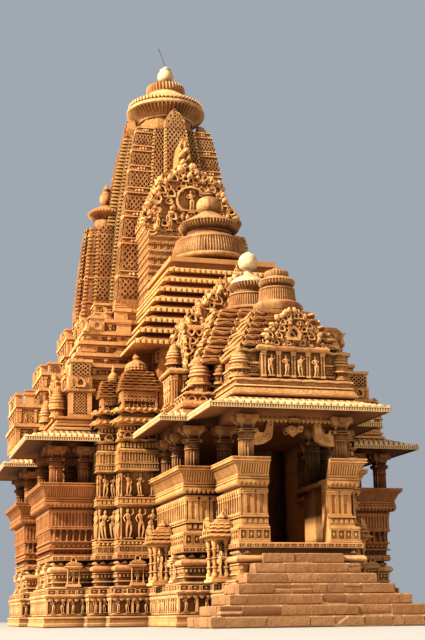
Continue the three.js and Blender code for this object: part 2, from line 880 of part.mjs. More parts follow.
// The pointed tops of the four middle plates
const TIP_INNER = 1450;
const TIP_LEVELS = [
  [21130, 1925, 460],
  [21500, 1880, 440],
  [21900, 1790, 210],
  [22100, 1660, 40],
];
function plateTip() {
  return loft(TIP_LEVELS.map(([z, outer, half]) => ({
    points: [[-half, -outer], [half, -outer], [half, -TIP_INNER], [-half, -TIP_INNER]],
    z,
  })));
}
const tips = [0, 1, 2, 3].map((quarter) => {
  const tip = plateTip();
  tip.rotateZ((quarter * Math.PI) / 2);
  tip.translate(0, fromFront(SANCTUM_AXIS), 0);
  return tip;
});
const NECK_RADIUS = 1200;
const NECK_TOP = 21950;
const NECK_FOOT = 21130;
const neck = turned(0, SANCTUM_AXIS, [
  [0, NECK_FOOT],
  [NECK_RADIUS, NECK_FOOT],
  [NECK_RADIUS, NECK_TOP],
  [0, NECK_TOP],
]);
piece('spire', joined(towerBody(), neck, ...tips));

piece('spire_crown', turned(0, SANCTUM_AXIS, [
  [0, NECK_TOP],
  [NECK_RADIUS, NECK_TOP],
  [1300, 22050],
  [1600, 22250],
  [1750, 22480],
  [1750, 22600],
  [1600, 22850],
  [1250, 23150],
  [830, 23480],
  [860, 23580],
  [810, 23900],
  [200, 24020],
  [330, 24220],
  [360, 24440],
  [250, 24760],
  [60, SPIRE_TOP],
  [0, SPIRE_TOP],
], ROUND), PALE_STONE);

// Thin rod that leans from the ball on the spire
const ROD_RADIUS = 16;
const ROD_LEAN = -330;
function rodRing(x, z) {
  const points = Array.from({ length: 8 }, (_, k) => [
    x + ROD_RADIUS * Math.cos((k * Math.PI) / 4),
    fromFront(SANCTUM_AXIS) + ROD_RADIUS * Math.sin((k * Math.PI) / 4),
  ]);
  return { points, z };
}
piece('lightning_rod', loft([rodRing(0, SPIRE_TOP), rodRing(ROD_LEAN, ROD_TOP)]), DARK_METAL, 0.6, 0.8);

// Half spires engaged with the spire's sides and rear
const halfSpireX = 2850;
function halfSpire() {
  const rings = [[12300, 1150], [TOWER_BASE, 1150], [13600, 1080], [14900, 950], [16100, 820], [16750, 720]];
  const body = loft(rings.map(([z, half]) => ({
    points: spread(place([
      [halfSpireX - half, SANCTUM_AXIS - half],
      [halfSpireX + 0.45 * half, SANCTUM_AXIS - half],
      [halfSpireX + 0.45 * half, SANCTUM_AXIS - 0.85 * half],
      [halfSpireX + 0.85 * half, SANCTUM_AXIS - 0.85 * half],
      [halfSpireX + 0.85 * half, SANCTUM_AXIS - 0.45 * half],
      [halfSpireX + half, SANCTUM_AXIS - 0.45 * half],
      [halfSpireX + half, SANCTUM_AXIS + 0.45 * half],
      [halfSpireX + 0.85 * half, SANCTUM_AXIS + 0.45 * half],
      [halfSpireX + 0.85 * half, SANCTUM_AXIS + 0.85 * half],
      [halfSpireX + 0.45 * half, SANCTUM_AXIS + 0.85 * half],
      [halfSpireX + 0.45 * half, SANCTUM_AXIS + half],
      [halfSpireX - half, SANCTUM_AXIS + half],
    ]), 0),
    z,
  })));
  const crown = turned(halfSpireX - 150, SANCTUM_AXIS, [
    [0, 16700],
    [470, 16700],
    [470, 17190],
    [780, 17480],
    [780, 17560],
    [420, 17800],
    [160, 17920],
    [270, 18120],
    [270, 18400],
    [110, 18580],
    [170, 18680],
    [0, 18900],
  ], 14);
  return cut(joined(body, crown), towerBody(1));
}
const sideSpire = halfSpire();
pair('half_spire', sideSpire);
piece('half_spire_rear', turnedToRear(sideSpire));

const FRONT_GABLE = [
  [1800, 15440],
  [1850, 15900],
  [1720, 16350],
  [1540, 16850],
  [1400, 17200],
  [1250, 17550],
  [900, 17800],
  [600, 17980],
];
const frontGablePoints = [...FRONT_GABLE, [0, 18250], ...FRONT_GABLE.map(([x, z]) => [-x, z]).reverse()];
const topFigure = upright([
  [-310, 17900],
  [310, 17900],
  [270, 18800],
  [200, 19500],
  [70, 20000],
  [-70, 20000],
  [-200, 19500],
  [-270, 18800],
], 13900, sukanasaRear);
piece('spire_front_gable', cut(
  joined(sukanasaBody, upright(frontGablePoints, sukanasaFront + 50, sukanasaRear), topFigure),
  towerBody(1),
));

// Roof of the great hall: ceiling slab, attic, straight tiers, and a stepped cascade over each balcony
const ceiling = moulded(place(bothSides([
  [PIER_INNER - 340, HALL_FRONT + 120 + 1100],
  [PIER_INNER - 340, HALL_BALCONY[0] + 50],
  [PIER_OUTER - 60, HALL_BALCONY[0] + 50],
  [PIER_OUTER - 60, HALL_REAR - 60],
  [LINK_HALF - 60, HALL_REAR - 60],
  [LINK_HALF - 60, HALL_CUT],
])), [[WALL_TOP, 0], [CEILING_TOP, 0]]);
const attic = joined(
  block(-FOREHALL_HALF + 40, FOREHALL_HALF - 40, HALL_FRONT + 120, 9000, WALL_TOP, 9300),
  block(-3250, 3250, 8150, HALL_CUT, CEILING_TOP - 10, 9300),
);
// Stepped gable on the front of the tiers
const HALL_GABLE = [
  [2150, 9290],
  [2120, 9650],
  [1950, 9780],
  [1900, 10000],
  [1620, 10130],
  [1550, 10350],
  [1320, 10480],
  [1250, 10700],
  [950, 10880],
  [880, 11070],
  [560, 11200],
  [450, 11360],
  [250, 11480],
];
const hallGablePoints = [...HALL_GABLE, [0, 11700], ...HALL_GABLE.map(([x, z]) => [-x, z]).reverse()];
const hallGable = upright(hallGablePoints, HALL_FRONT - 520, HALL_FRONT + 1400);
const HALL_TIERS = 8;
const hallTiers = joined(
  tiers(squarePlan(3600, 3600, HALL_AXIS), 9280, 12760, HALL_TIERS, 1760, 260),
  block(-1990, 1990, HALL_AXIS - 1990, HALL_AXIS + 1990, 12740, 12920),
);

// Stepped blocks over a balcony, each with a wider slab on top; courses are [top, reach, half width]
const SLAB_LIP = 90;
const SLAB_THICKNESS = 140;
function cascade(axis, inside, wall, foot, courses) {
  const half = BALCONY_HALF - 100;
  const parts = [
    block(wall + 20, foot, axis - half, axis + half, EAVE_TOP, WALL_TOP + 10),
    block(wall + 20, foot + SLAB_LIP, axis - half - SLAB_LIP, axis + half + SLAB_LIP, 6680, 6760),
    block(wall + 20, foot + SLAB_LIP, axis - half - SLAB_LIP, axis + half + SLAB_LIP, 6920, WALL_TOP),
  ];
  let below = WALL_TOP;
  for (const [top, reach, halfWidth] of courses) {
    const lip = halfWidth + SLAB_LIP;
    parts.push(block(inside, reach, axis - halfWidth, axis + halfWidth, below, top - SLAB_THICKNESS));
    parts.push(block(inside, reach + SLAB_LIP, axis - lip, axis + lip, top - SLAB_THICKNESS - 10, top));
    below = top - 10;
  }
  return joined(...parts);
}
// A niche block with its gable and a corner turret, at the front or rear edge of a balcony's roof
function balconyNiche(edge, inward) {
  const [near, far] = [edge, edge + 500 * inward].sort((a, b) => a - b);
  return [
    block(4720, 5560, near, far, 6990, 7920),
    gable(430, 7900, 9050, near + 30, far - 30, 5140),
    bud(5880, edge + 250 * inward, 250, 6990, 8120),
  ];
}
const hallCascade = joined(
  cascade(HALL_AXIS, 3000, PIER_OUTER, 5920, [
    [7930, 5680, 1250],
    [8550, 5500, 1150],
    [9000, 5290, 1150],
    [9400, 5140, 1100],
    [9850, 4980, 1000],
    [10250, 4840, 900],
    [10700, 4050, 900],
    [11150, 3680, 850],
  ]),
  sideGable(700, 7910, 8800, 4600, 5800, HALL_AXIS),
  ...balconyNiche(HALL_BALCONY[0] + 150, 1),
  ...balconyNiche(HALL_BALCONY[1] - 150, -1),
);
piece('great_hall_roof', cut(
  joined(ceiling, attic, hallTiers, hallGable, hallCascade, mirrored(hallCascade)),
  sukanasaBody,
));
piece('great_hall_bell', turned(0, HALL_AXIS, [
  [0, 12920],
  [1250, 12920],
  [1250, 13180],
  [1540, 13340],
  [1420, 13640],
  [1300, 14050],
  [850, 14500],
  [1130, 14760],
  [820, 15020],
  [360, 15320],
  [480, 15600],
  [380, 15880],
  [220, 16020],
  [0, 16340],
], ROUND));

// Roof of the sanctum: a stepped mass that carries the spire, with a cascade over each balcony
const sanctumMass = moulded(place(bothSides([
  [LINK_HALF - 60, HALL_CUT],
  [LINK_HALF - 60, SANCTUM_FRONT - 40],
  [STEP_B - 40, SANCTUM_FRONT - 40],
  [STEP_B - 40, SANCTUM_AXIS + CORNER_A],
  [STEP_A, SANCTUM_AXIS + CORNER_A],
  [STEP_A, SANCTUM_AXIS + STEP_A],
  [CORNER_A, SANCTUM_AXIS + STEP_A],
  [CORNER_A, SANCTUM_AXIS + STEP_B - 40],
])), [
  [WALL_TOP, 0],
  [8000, 0],
  [8000, -220],
  [9100, -260],
  [9100, -520],
  [10100, -560],
  [10100, -800],
  [11100, -840],
  [11100, -1080],
  [12100, -1120],
  [12100, -1300],
  [TOWER_BASE, -1300],
]);
const sanctumCascade = cascade(SANCTUM_AXIS, 2500, STEP_C, 6300, [
  [7900, 6480, 1550],
  [8700, 6440, 1480],
  [9400, 5500, 1480],
  [10070, 5440, 1420],
  [10850, 4500, 1420],
  [11620, 4440, 1350],
  [12350, 3920, 1200],
]);
piece('sanctum_roof', cut(
  joined(sanctumMass, sanctumCascade, mirrored(sanctumCascade), turnedToRear(sanctumCascade)),
  sukanasaBody,
  sideSpire,
  mirrored(sideSpire),
  turnedToRear(sideSpire),
));

export default temple;
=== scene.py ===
"""Looks of a carved sandstone temple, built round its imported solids. Metres, +Z up, the entrance faces -Y."""
import math

import bpy
import numpy as np
from mathutils import Matrix, Vector


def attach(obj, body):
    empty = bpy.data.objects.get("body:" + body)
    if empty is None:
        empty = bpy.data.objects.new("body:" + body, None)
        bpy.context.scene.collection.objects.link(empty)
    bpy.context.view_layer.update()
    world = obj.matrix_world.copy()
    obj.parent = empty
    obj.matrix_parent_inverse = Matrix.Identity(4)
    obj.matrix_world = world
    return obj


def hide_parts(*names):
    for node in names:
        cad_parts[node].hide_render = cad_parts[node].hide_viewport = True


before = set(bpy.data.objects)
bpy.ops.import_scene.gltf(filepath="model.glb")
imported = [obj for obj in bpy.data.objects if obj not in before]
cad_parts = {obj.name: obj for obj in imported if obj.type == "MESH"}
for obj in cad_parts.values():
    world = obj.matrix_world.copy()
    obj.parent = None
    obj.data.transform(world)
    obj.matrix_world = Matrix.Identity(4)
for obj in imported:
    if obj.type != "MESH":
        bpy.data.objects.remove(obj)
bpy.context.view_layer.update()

# Y is counted from the front edge of the porch eave while shapes are made, as in the plans
ORIGIN_Y = 11.2805
PORCH_AXIS, PORCH_PEAK, FOREHALL_AXIS, HALL_AXIS, SANCTUM_AXIS = 1.75, 2.05, 5.05, 10.05, 17.4
QUARTER = math.pi / 2
RNG = np.random.default_rng(11)


# Shapes: (corners, face corners one after another, corners per face, tint per corner)

def rings(points, wrap=True, caps=2):
    """A skin through rings of equal point counts; caps 1 closes the last ring, 2 both"""
    p = np.asarray(points, float)
    r, c = p.shape[:2]
    i = np.arange(r - 1)[:, None] * c
    j = np.arange(c if wrap else c - 1)[None, :]
    k = (j + 1) % c
    ends = [(r - 1) * c + np.arange(c), np.arange(c)[::-1]][:caps]
    loops = np.concatenate([np.stack([i + j, i + k, i + k + c, i + j + c], -1).ravel(), *ends])
    return p.reshape(-1, 3), loops, np.array([4] * (r - 1) * j.size + [c] * caps), np.zeros(r * c)


def flat(parts):
    for q in parts:
        if isinstance(q, list):
            yield from flat(q)
        else:
            yield q


def merge(*parts):
    """One part from parts and lists of parts"""
    v, loops, sizes, tint = zip(*flat(parts))
    starts = np.cumsum([0] + [len(q) for q in v])
    loops = [q + s for q, s in zip(loops, starts)]
    return tuple(np.concatenate(q) for q in (v, loops, sizes, tint))


def both(*parts):
    """The parts and their mirror image across the building's axis"""
    v, loops, sizes, tint = whole = merge(*parts)
    ends = np.cumsum(sizes).repeat(sizes)
    starts = ends - sizes.repeat(sizes)
    back = loops[ends - 1 - (np.arange(len(loops)) - starts)]
    return merge(whole, (v * (-1, 1, 1), back, sizes, tint))


def copies(part, spots):
    """Copies of a part; spots are rows of x, y, z, turn and, if given, one or three scales"""
    v, loops, sizes, tint = part
    s = np.atleast_2d(np.asarray(spots, float))
    n = len(s)
    w = v[None] * (s[:, None, 4:] if s.shape[1] > 4 else np.ones((n, 1, 1)))
    c, d = np.cos(s[:, 3])[:, None], np.sin(s[:, 3])[:, None]
    out = np.stack([w[..., 0] * c - w[..., 1] * d, w[..., 0] * d + w[..., 1] * c, w[..., 2]], -1)
    shade = np.clip(RNG.normal(0, 0.45, n), -1, 1)
    return ((out + s[:, None, :3]).reshape(-1, 3), (loops[None] + np.arange(n)[:, None] * len(v)).ravel(),
            np.tile(sizes, n), (tint[None] + shade[:, None]).ravel())


def placed(part, x=0, y=0, z=0, turn=0, scale=1):
    return copies(part, [[x, y, z, turn, scale]])


def to_side(part, axis, x, z=0, scale=1):
    """Turns a front-facing part made at the origin to face +X at the axis"""
    return placed(part, x, axis, z, QUARTER, scale)


def quarters(part, turns=(0, 1, 2, 3)):
    """The part turned round the sanctum's axis by quarters"""
    local = (part[0] - (0, SANCTUM_AXIS, 0), *part[1:])
    return copies(local, [[0, SANCTUM_AXIS, 0, q * QUARTER] for q in turns])


def slab(x0, x1, y0, y1, z0, z1, c=0.012):
    """A block with worn edges"""
    def ring(z, i):
        return [(x0 + i, y0 + i, z), (x1 - i, y0 + i, z), (x1 - i, y1 - i, z), (x0 + i, y1 - i, z)]
    c = min(c, (z1 - z0) / 3, (x1 - x0) / 3, (y1 - y0) / 3)
    return rings([ring(z0, c), ring(z0 + c, 0), ring(z1 - c, 0), ring(z1, c)])


def block(x0, x1, y0, y1, z0, z1, faces=5):
    """A small block; it is set in a wall and its back is open unless it has 6 faces"""
    v = [[x, y, z] for z in (z0, z1) for x, y in ((x0, y1), (x0, y0), (x1, y0), (x1, y1))]
    loops = np.array([0, 1, 5, 4, 1, 2, 6, 5, 2, 3, 7, 6, 4, 5, 6, 7, 3, 2, 1, 0, 3, 0, 4, 7])
    return np.array(v, float), loops[:4 * faces], np.full(faces, 4), np.zeros(8)


def stud(half, reach, h, root=0):
    """A small block in the middle of its spot, from root behind the wall to reach before it"""
    return block(-half, half, -reach, root, 0, h)


def turned(profile, n, ribs=0, depth=0, x=0, y=0):
    """A round form; profile rows are radius, height and, where ribbed, a share of the depth"""
    a = np.arange(n) * 2 * math.pi / n
    groove = depth * (1 - np.abs(np.cos(ribs * a / 2)))
    out = []
    for radius, z, *share in profile:
        r = radius * (1 - groove * (share[0] if share else 0))
        out.append(np.stack([x + r * np.cos(a), y + r * np.sin(a), np.full(n, z)], -1))
    return rings(out, caps=1)


def post(rows, n=5):
    """A half-round shaft against a wall; rows are radius and height"""
    a = np.radians(np.linspace(170, 370, n))
    return rings([np.stack([r * np.cos(a), r * np.sin(a), np.full(n, z)], -1) for r, z in rows],
                 wrap=False, caps=0)


def tube(path, radii, n=6):
    p = np.asarray(path, float)
    out = []
    for i, r in enumerate(np.broadcast_to(radii, len(p))):
        d = p[min(i + 1, len(p) - 1)] - p[max(i - 1, 0)]
        d /= np.linalg.norm(d)
        u = np.cross((0, 1, 0) if abs(d[1]) < 0.9 else (1, 0, 0), d)
        u /= np.linalg.norm(u)
        a = np.arange(n)[:, None] * 2 * math.pi / n
        out.append(p[i] + r * (np.cos(a) * u + np.sin(a) * np.cross(d, u)))
    return rings(out, caps=1)


def relief(outline, levels, caps=1):
    """An outline of [x, z] that steps towards -Y; levels are rows of scale and y"""
    o = np.asarray(outline, float)
    mid = (o.max(0) + o.min(0)) / 2
    out = []
    for s, y in levels:
        q = mid + (o - mid) * s
        out.append(np.stack([q[:, 0], np.full(len(q), y), q[:, 1]], -1))
    return rings(out, caps=caps)


def leaned(part, angle):
    """Tips a part sideways in the plane of the wall"""
    x, y, z = part[0].T
    c, n = math.cos(angle), math.sin(angle)
    return np.stack([x * c + z * n, y, z * c - x * n], -1), *part[1:]


def tilted(part, angle):
    """Leans a part out from the wall"""
    x, y, z = part[0].T
    c, n = math.cos(angle), math.sin(angle)
    return np.stack([x, y * c - z * n, y * n + z * c], -1), *part[1:]


def mitres(path, closed):
    p = np.asarray(path, float)
    d = np.roll(p, -1, 0) - p
    d /= np.maximum(np.linalg.norm(d, axis=1), 1e-9)[:, None]
    n = np.stack([d[:, 1], -d[:, 0]], -1)
    if not closed:
        n[-1] = n[-2]
    before = np.roll(n, 1, 0)
    if not closed:
        before[0] = n[0]
    return p, (n + before) / (1 + (n * before).sum(1))[:, None]


def offset(path, out, closed=False):
    p, m = mitres(path, closed)
    return p + m * out


def strip(path, profile, closed=False, wave=0, period=0, push=0, phase=0):
    """A moulding along a path; profile rows are outward reach and height, and waves lift and push its edge"""
    p, m = mitres(path, closed)
    if closed:
        p, m = np.vstack([p, p[:1]]), np.vstack([m, m[:1]])
    rows = []
    for a, b, ma, mb in zip(p[:-1], p[1:], m[:-1], m[1:]):
        count = max(1, round(np.linalg.norm(b - a) / period)) if period else 1
        steps = count * 4 if period else 1
        for t in np.arange(steps) / steps:
            lift = abs(math.sin(math.pi * (count * t + phase)))
            rows.append([*(a + (b - a) * t), *(ma + (mb - ma) * t), lift])
    if not closed:
        rows.append([*p[-1], *m[-1], abs(math.sin(math.pi * phase))])
    rows = np.array(rows)
    pts, mit, lift = rows[:, :2], rows[:, 2:4], rows[:, 4:]
    return rings([np.hstack([pts + mit * (reach + push * lift), z + wave * lift]) for reach, z in profile],
                 wrap=closed, caps=0)


def bands(path, *profiles, closed=False):
    """Plain mouldings along one path"""
    return [strip(path, profile, closed) for profile in profiles]


def row(path, spacing, z=0, out=0, closed=False, ends=0.5, least=1, where=None, less=0):
    """Spots evenly spaced on each side of a path; where(turn, length) picks the sides"""
    p = offset(path, out, closed)
    if closed:
        p = np.vstack([p, p[:1]])
    spots = []
    for a, b in zip(p[:-1], p[1:]):
        length = np.linalg.norm(b - a)
        count = int(round(length / spacing)) - less
        turn = math.atan2(b[1] - a[1], b[0] - a[0])
        if length < 0.4 * spacing or count < least or where and not where(turn, length):
            continue
        for k in range(count):
            t = (k + ends) / (count - 1 + 2 * ends) if count > 1 or ends else 0.5
            spots.append([*(a + (b - a) * t), z, turn])
    return spots


def lined(part, path, *place, **more):
    """Copies of a part along a path"""
    return copies(part, row(path, *place, **more))


def show(name, finish, *parts, slot="sandstone", angle=38, replaces=()):
    """Puts a joined piece in the scene, riding on the building"""
    v, loops, sizes, tint = merge(*parts)
    mesh = bpy.data.meshes.new(name)
    mesh.vertices.add(len(v))
    mesh.vertices.foreach_set("co", (v - (0, ORIGIN_Y, 0)).astype(np.float32).ravel())
    mesh.loops.add(len(loops))
    mesh.loops.foreach_set("vertex_index", loops.astype(np.int32))
    mesh.polygons.add(len(sizes))
    mesh.polygons.foreach_set("loop_start", (np.cumsum(sizes) - sizes).astype(np.int32))
    mesh.update(calc_edges=True)
    mesh.validate()
    mesh.attributes.new("tint", "FLOAT", "POINT").data.foreach_set("value", tint.astype(np.float32))
    mesh.shade_smooth()
    mesh.set_sharp_from_angle(angle=math.radians(angle))
    mesh.materials.append(finish)
    obj = bpy.data.objects.new(name, mesh)
    bpy.context.scene.collection.objects.link(obj)
    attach(obj, "root")
    if replaces:
        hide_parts(*replaces)


# Finishes

def put(node, **values):
    """Sets or links a node's inputs, named by identifier, and its settings"""
    sockets = {s.identifier.replace(" ", "_"): s for s in node.inputs}
    for key, value in values.items():
        if key not in sockets:
            setattr(node, key, value)
        elif isinstance(value, bpy.types.NodeSocket):
            node.id_data.links.new(value, sockets[key])
        else:
            sockets[key].default_value = value


def material(name):
    """A new material, its shader, and a maker of nodes that gives one of the node's outputs"""
    m = bpy.data.materials.new(name)
    m.use_nodes = True

    def add(kind, out=0, **values):
        node = m.node_tree.nodes.new("ShaderNode" + kind)
        put(node, **values)
        return node.outputs[out]
    return m, m.node_tree.nodes["Principled BSDF"], add


GOLDEN = (0.66, 0.37, 0.14)
AMBER = (0.52, 0.225, 0.072)
RED_BROWN = (0.27, 0.088, 0.032)
SHADOW = (0.06, 0.020, 0.008)
CREAM = (0.74, 0.52, 0.27)
# Near-black of the painted shade in deep recesses and interiors
INK = (0.012, 0.006, 0.004)
# Ambient-occlusion limits of that painted shade: open surfaces, and a stronger darkening for deep ones
OPEN_SHADE, DEEP_SHADE = (0.40, 0.14), (0.62, 0.2)


def stone(name, light=GOLDEN, deep=AMBER, stain=RED_BROWN, crevice=SHADOW, streaks=0.45, joints=0, grain=1,
          variety=0.1, worn=0.4, carved=0, painted_recess_shade=0.9, mottled=0, painted_underside_shade=0, shade=OPEN_SHADE, painted_eave_shadow=0):
    """Weathered sandstone: two tones in patches, stains, pale worn edges, and painted shade in hollows, in large
    recesses and, where asked, on undersides and above a height under the eaves
    """
    m, shader, add = material(name)
    place = add("TexCoord", "Object")

    def noise(scale, detail=4, stretch=None):
        source = add("Mapping", Vector=place, Scale=stretch) if stretch else place
        return add("TexNoise", "Fac", Vector=source, Scale=scale, Detail=detail, Roughness=0.6)

    def times(value, factor):
        return add("Math", operation="MULTIPLY", Value=value, Value_001=factor)

    def plus(a, b):
        return add("Math", operation="ADD", Value=a, Value_001=b)

    def ramp(value, low, high):
        return add("MapRange", Value=value, From_Min=low, From_Max=high, clamp=True)

    def mix(share, a, b):
        return add("Mix", 2, data_type="RGBA", Factor_Float=share, A_Color=a, B_Color=(*b, 1))

    def lay(colour, amount, mask, low, high):
        """Lays a colour over the stone where the mask runs from low to high"""
        nonlocal body
        body = mix(times(ramp(mask, low, high), amount), body, colour)

    patches = plus(times(noise(0.35, 3), 0.5), times(noise(1.9, 5), 0.5))
    shift = plus(patches, times(add("Attribute", "Fac", attribute_name="tint"), variety))
    body = mix(ramp(shift, 0.40, 0.60), (*light, 1), deep)
    sunned = tuple(min(1, gain * c) for gain, c in zip((1.25, 1.42, 1.5), light))
    lay(sunned, 0.55, noise(1.15), 0.5, 0.64)
    lay(stain, 0.6, noise(0.8), 0.53, 0.66)
    lay(stain, 0.6, noise(9, 6), 0.5, 0.66)
    lay(crevice, streaks, noise(2.2, 5, (1.6, 1.6, 0.22)), 0.52, 0.7)
    lay(crevice, 0.35, noise(46, 3), 0.55, 0.68)
    if mottled:
        lay(crevice, mottled, noise(4.2, 7), 0.49, 0.62)
    if joints:
        across = plus(*(add("SeparateXYZ", axis, Vector=place) for axis in "XY"))
        wall = add("CombineXYZ", X=across, Y=add("SeparateXYZ", "Z", Vector=place))
        bricks = add("TexBrick", "Color", Vector=wall, Scale=1, Mortar_Size=0.006, Brick_Width=0.86, Row_Height=0.31,
                     Color1=(0, 0, 0, 1), Color2=(0.55, 0.55, 0.55, 1), Mortar=(1, 1, 1, 1))
        body = mix(times(bricks, joints), body, crevice)
    chips = add("TexVoronoi", "Distance", Vector=place, Scale=6.5, feature="DISTANCE_TO_EDGE")
    if carved:
        lay(crevice, carved, chips, 0.12, 0)
    # Painted shade: ambient occlusion over 0.45 m darkens hollows and creases towards the crevice colour
    lay(crevice, 0.92, add("AmbientOcclusion", "AO", samples=6, Distance=0.45), 0.92, 0.3)
    # Painted shade: ambient occlusion over 3.2 m darkens large recesses and interiors towards near-black
    lay(INK, painted_recess_shade, add("AmbientOcclusion", "AO", samples=5, Distance=3.2), *shade)
    # Painted shadow of the eaves: above 5.1 to 5.5 m, where the capitals stand under the eaves, the stone darkens
    # towards the crevice colour
    if painted_eave_shadow:
        lay(crevice, painted_eave_shadow, add("SeparateXYZ", "Z", Vector=place), 5.1, 5.5)
    # Painted shade on undersides: faces that look down darken towards the crevice colour
    if painted_underside_shade:
        lay(crevice, painted_underside_shade, add("SeparateXYZ", "Z", Vector=add("NewGeometry", "Normal")), -0.25, -0.8)
    lay([min(1, 1.4 * c) for c in light], worn, add("NewGeometry", "Pointiness"), 0.52, 0.62)
    relief_map = plus(times(noise(38, 6), 0.6), times(noise(7), 1))
    relief_map = plus(relief_map, times(ramp(chips, 0, 0.12), 2.5 * carved))
    bump = add("Bump", Height=relief_map, Strength=min(1, 0.5 * grain), Distance=0.02 * grain)
    gloss = add("MapRange", Value=noise(12, 3), To_Min=0.76, To_Max=0.98)
    put(shader, Base_Color=body, Roughness=gloss, Normal=bump, Specular_IOR_Level=0.25)
    return m


def metal():
    m, shader, add = material("dark_metal_weathered")
    noise = add("TexNoise", "Fac", Scale=30)
    tones = add("Mix", 2, data_type="RGBA", Factor_Float=noise, A_Color=(0.05, 0.045, 0.04, 1),
                B_Color=(0.16, 0.10, 0.07, 1))
    put(shader, Base_Color=tones, Metallic=0.8, Roughness=0.6, Normal=add("Bump", Height=noise, Distance=0.003))
    return m


STONE = stone("sandstone_carved")
BLOCKS = stone("sandstone_blocks", joints=0.25, shade=DEEP_SHADE)
PARAPETS = stone("sandstone_parapets", joints=0.25, shade=DEEP_SHADE, painted_eave_shadow=0.85)
SHAFTS = stone("sandstone_pillars", (0.58, 0.32, 0.125), (0.46, 0.20, 0.07), shade=DEEP_SHADE, painted_eave_shadow=0.8)
UPPER = stone("sandstone_upper", (0.68, 0.38, 0.155), (0.55, 0.24, 0.08), crevice=(0.10, 0.036, 0.014), painted_recess_shade=0.3)
ROOFS = stone("sandstone_roofs", (0.54, 0.28, 0.10), (0.40, 0.165, 0.058), streaks=0.5, carved=0.45, painted_recess_shade=0.3)
CROWN = stone("sandstone_crown", (0.70, 0.44, 0.20), (0.56, 0.29, 0.11), crevice=(0.26, 0.10, 0.04), streaks=0.4,
              painted_recess_shade=0)
EDGES = stone("sandstone_pale_edges", CREAM, (0.66, 0.40, 0.17), AMBER, streaks=0.3)
FIGURES = stone("sandstone_figures", (0.58, 0.32, 0.125), (0.43, 0.19, 0.066), streaks=0.35, variety=0.4)
BASES = stone("sandstone_base", (0.76, 0.43, 0.19), (0.62, 0.27, 0.10), (0.40, 0.14, 0.05), streaks=0.4, variety=0.15)
BELLS = stone("sandstone_bells", (0.55, 0.31, 0.13), (0.40, 0.19, 0.07), streaks=0.7)
TILES = stone("sandstone_tiles", (0.74, 0.45, 0.17), (0.60, 0.31, 0.10), AMBER, streaks=0.2, variety=0.2)
TIERS = stone("sandstone_tiers", (0.54, 0.28, 0.10), (0.42, 0.17, 0.06), crevice=(0.24, 0.085, 0.032), streaks=0.4,
              painted_recess_shade=0)
RED = stone("sandstone_red", (0.48, 0.215, 0.078), (0.36, 0.135, 0.048), (0.22, 0.07, 0.026), streaks=0.35,
            variety=0.2, painted_eave_shadow=0.8)
PALE = stone("pale_stone_weathered", (0.82, 0.66, 0.42), (0.72, 0.48, 0.24), (0.50, 0.26, 0.10), streaks=0.4)
STEPS = stone("sandstone_steps", (0.41, 0.215, 0.095), (0.12, 0.047, 0.019), (0.07, 0.025, 0.011), streaks=0.7,
              variety=0.9, worn=0.6, grain=2.6, mottled=0.75)
# Eaves and pillar brackets: the darker tone is partly the stone's own colour and partly painted shade under the
# eaves; faces that look down are darkened further
EAVES = stone("sandstone_eaves", (0.42, 0.19, 0.075), (0.30, 0.115, 0.042), streaks=0.5, painted_underside_shade=0.7, shade=DEEP_SHADE)
METAL = metal()

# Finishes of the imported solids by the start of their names; the first that fits counts
SOLID_FINISHES = (
    (STEPS, ("entrance_stairs",)),
    (METAL, ("lightning_rod",)),
    (PALE, ("forehall_bell", "spire_crown")),
    (TIERS, ("great_hall_roof",)),
    (PARAPETS, ("porch_parapet", "forehall_parapet")),
    (RED, ("great_hall_balcony", "great_hall_seat", "sanctum_balcony", "sanctum_seat", "rear_balcony", "rear_seat")),
    (ROOFS, ("porch_roof", "forehall_roof", "sanctum_roof", "porch_bell", "great_hall_bell", "spire", "half_spire")),
    (EAVES, ("porch_eave", "forehall_eave", "great_hall_eave", "sanctum_eave", "rear_eave")),
    (BLOCKS, ("",)),
)
for name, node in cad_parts.items():
    node.data.materials.clear()
    node.data.materials.append(next(finish for finish, starts in SOLID_FINISHES if name.startswith(starts)))


# Plans of the right-hand side, front to back

FRONT = [(0.9, 0.6), (1.7, 0.6), (1.7, 3.0), (2.7, 3.0), (2.7, 6.9)]
HALL_CORNER = [(2.7, 6.9), (3.95, 6.9), (3.95, 7.6), (4.55, 7.6), (4.55, 8.2)]
LINK = [(4.55, 11.9), (4.55, 12.5), (4.1, 12.5), (4.1, 14.2), (4.75, 14.2), (4.75, 15.0), (5.1, 15.0), (5.1, 15.55)]
REAR_CORNER = [(5.1, 19.25), (5.1, 19.8), (4.75, 19.8), (4.75, 20.6), (4.1, 20.6), (4.1, 21.5), (3.2, 21.5),
               (3.2, 22.15), (2.4, 22.15), (2.4, 22.5), (1.85, 22.5)]
WALLS = [HALL_CORNER, LINK, REAR_CORNER]
HALL_BALCONY = [(4.55, 8.2), (6.17, 8.2), (6.17, 11.9), (4.55, 11.9)]
SANCTUM_BALCONY = [(5.1, 15.55), (6.17, 15.55), (6.17, 19.25), (5.1, 19.25)]
BASE = [*FRONT[1:], *HALL_CORNER[1:4], (4.55, 8.3), (5.85, 8.3), (5.85, 11.8), (4.55, 11.8), *LINK[1:7],
        (5.1, 15.65), (5.85, 15.65), (5.85, 19.15), (5.1, 19.15), *REAR_CORNER[1:10], (1.75, 22.5), (1.75, 23.25)]


def mirrored(path):
    """The path and its mirror image as one ring"""
    return path + [(-x, y) for x, y in reversed(path)]


def square(half_x, half_y, axis):
    return [(x * half_x, axis + y * half_y) for x, y in ((-1, -1), (1, -1), (1, 1), (-1, 1))]


def bay(inside, reach, axis, half):
    """Three sides of a bay that stands out to +X"""
    return [(inside, axis - half), (reach, axis - half), (reach, axis + half), (inside, axis + half)]


BASE_RING = mirrored(BASE)


# Small carved forms; each faces -Y, stands on z = 0 and is backed by y = 0

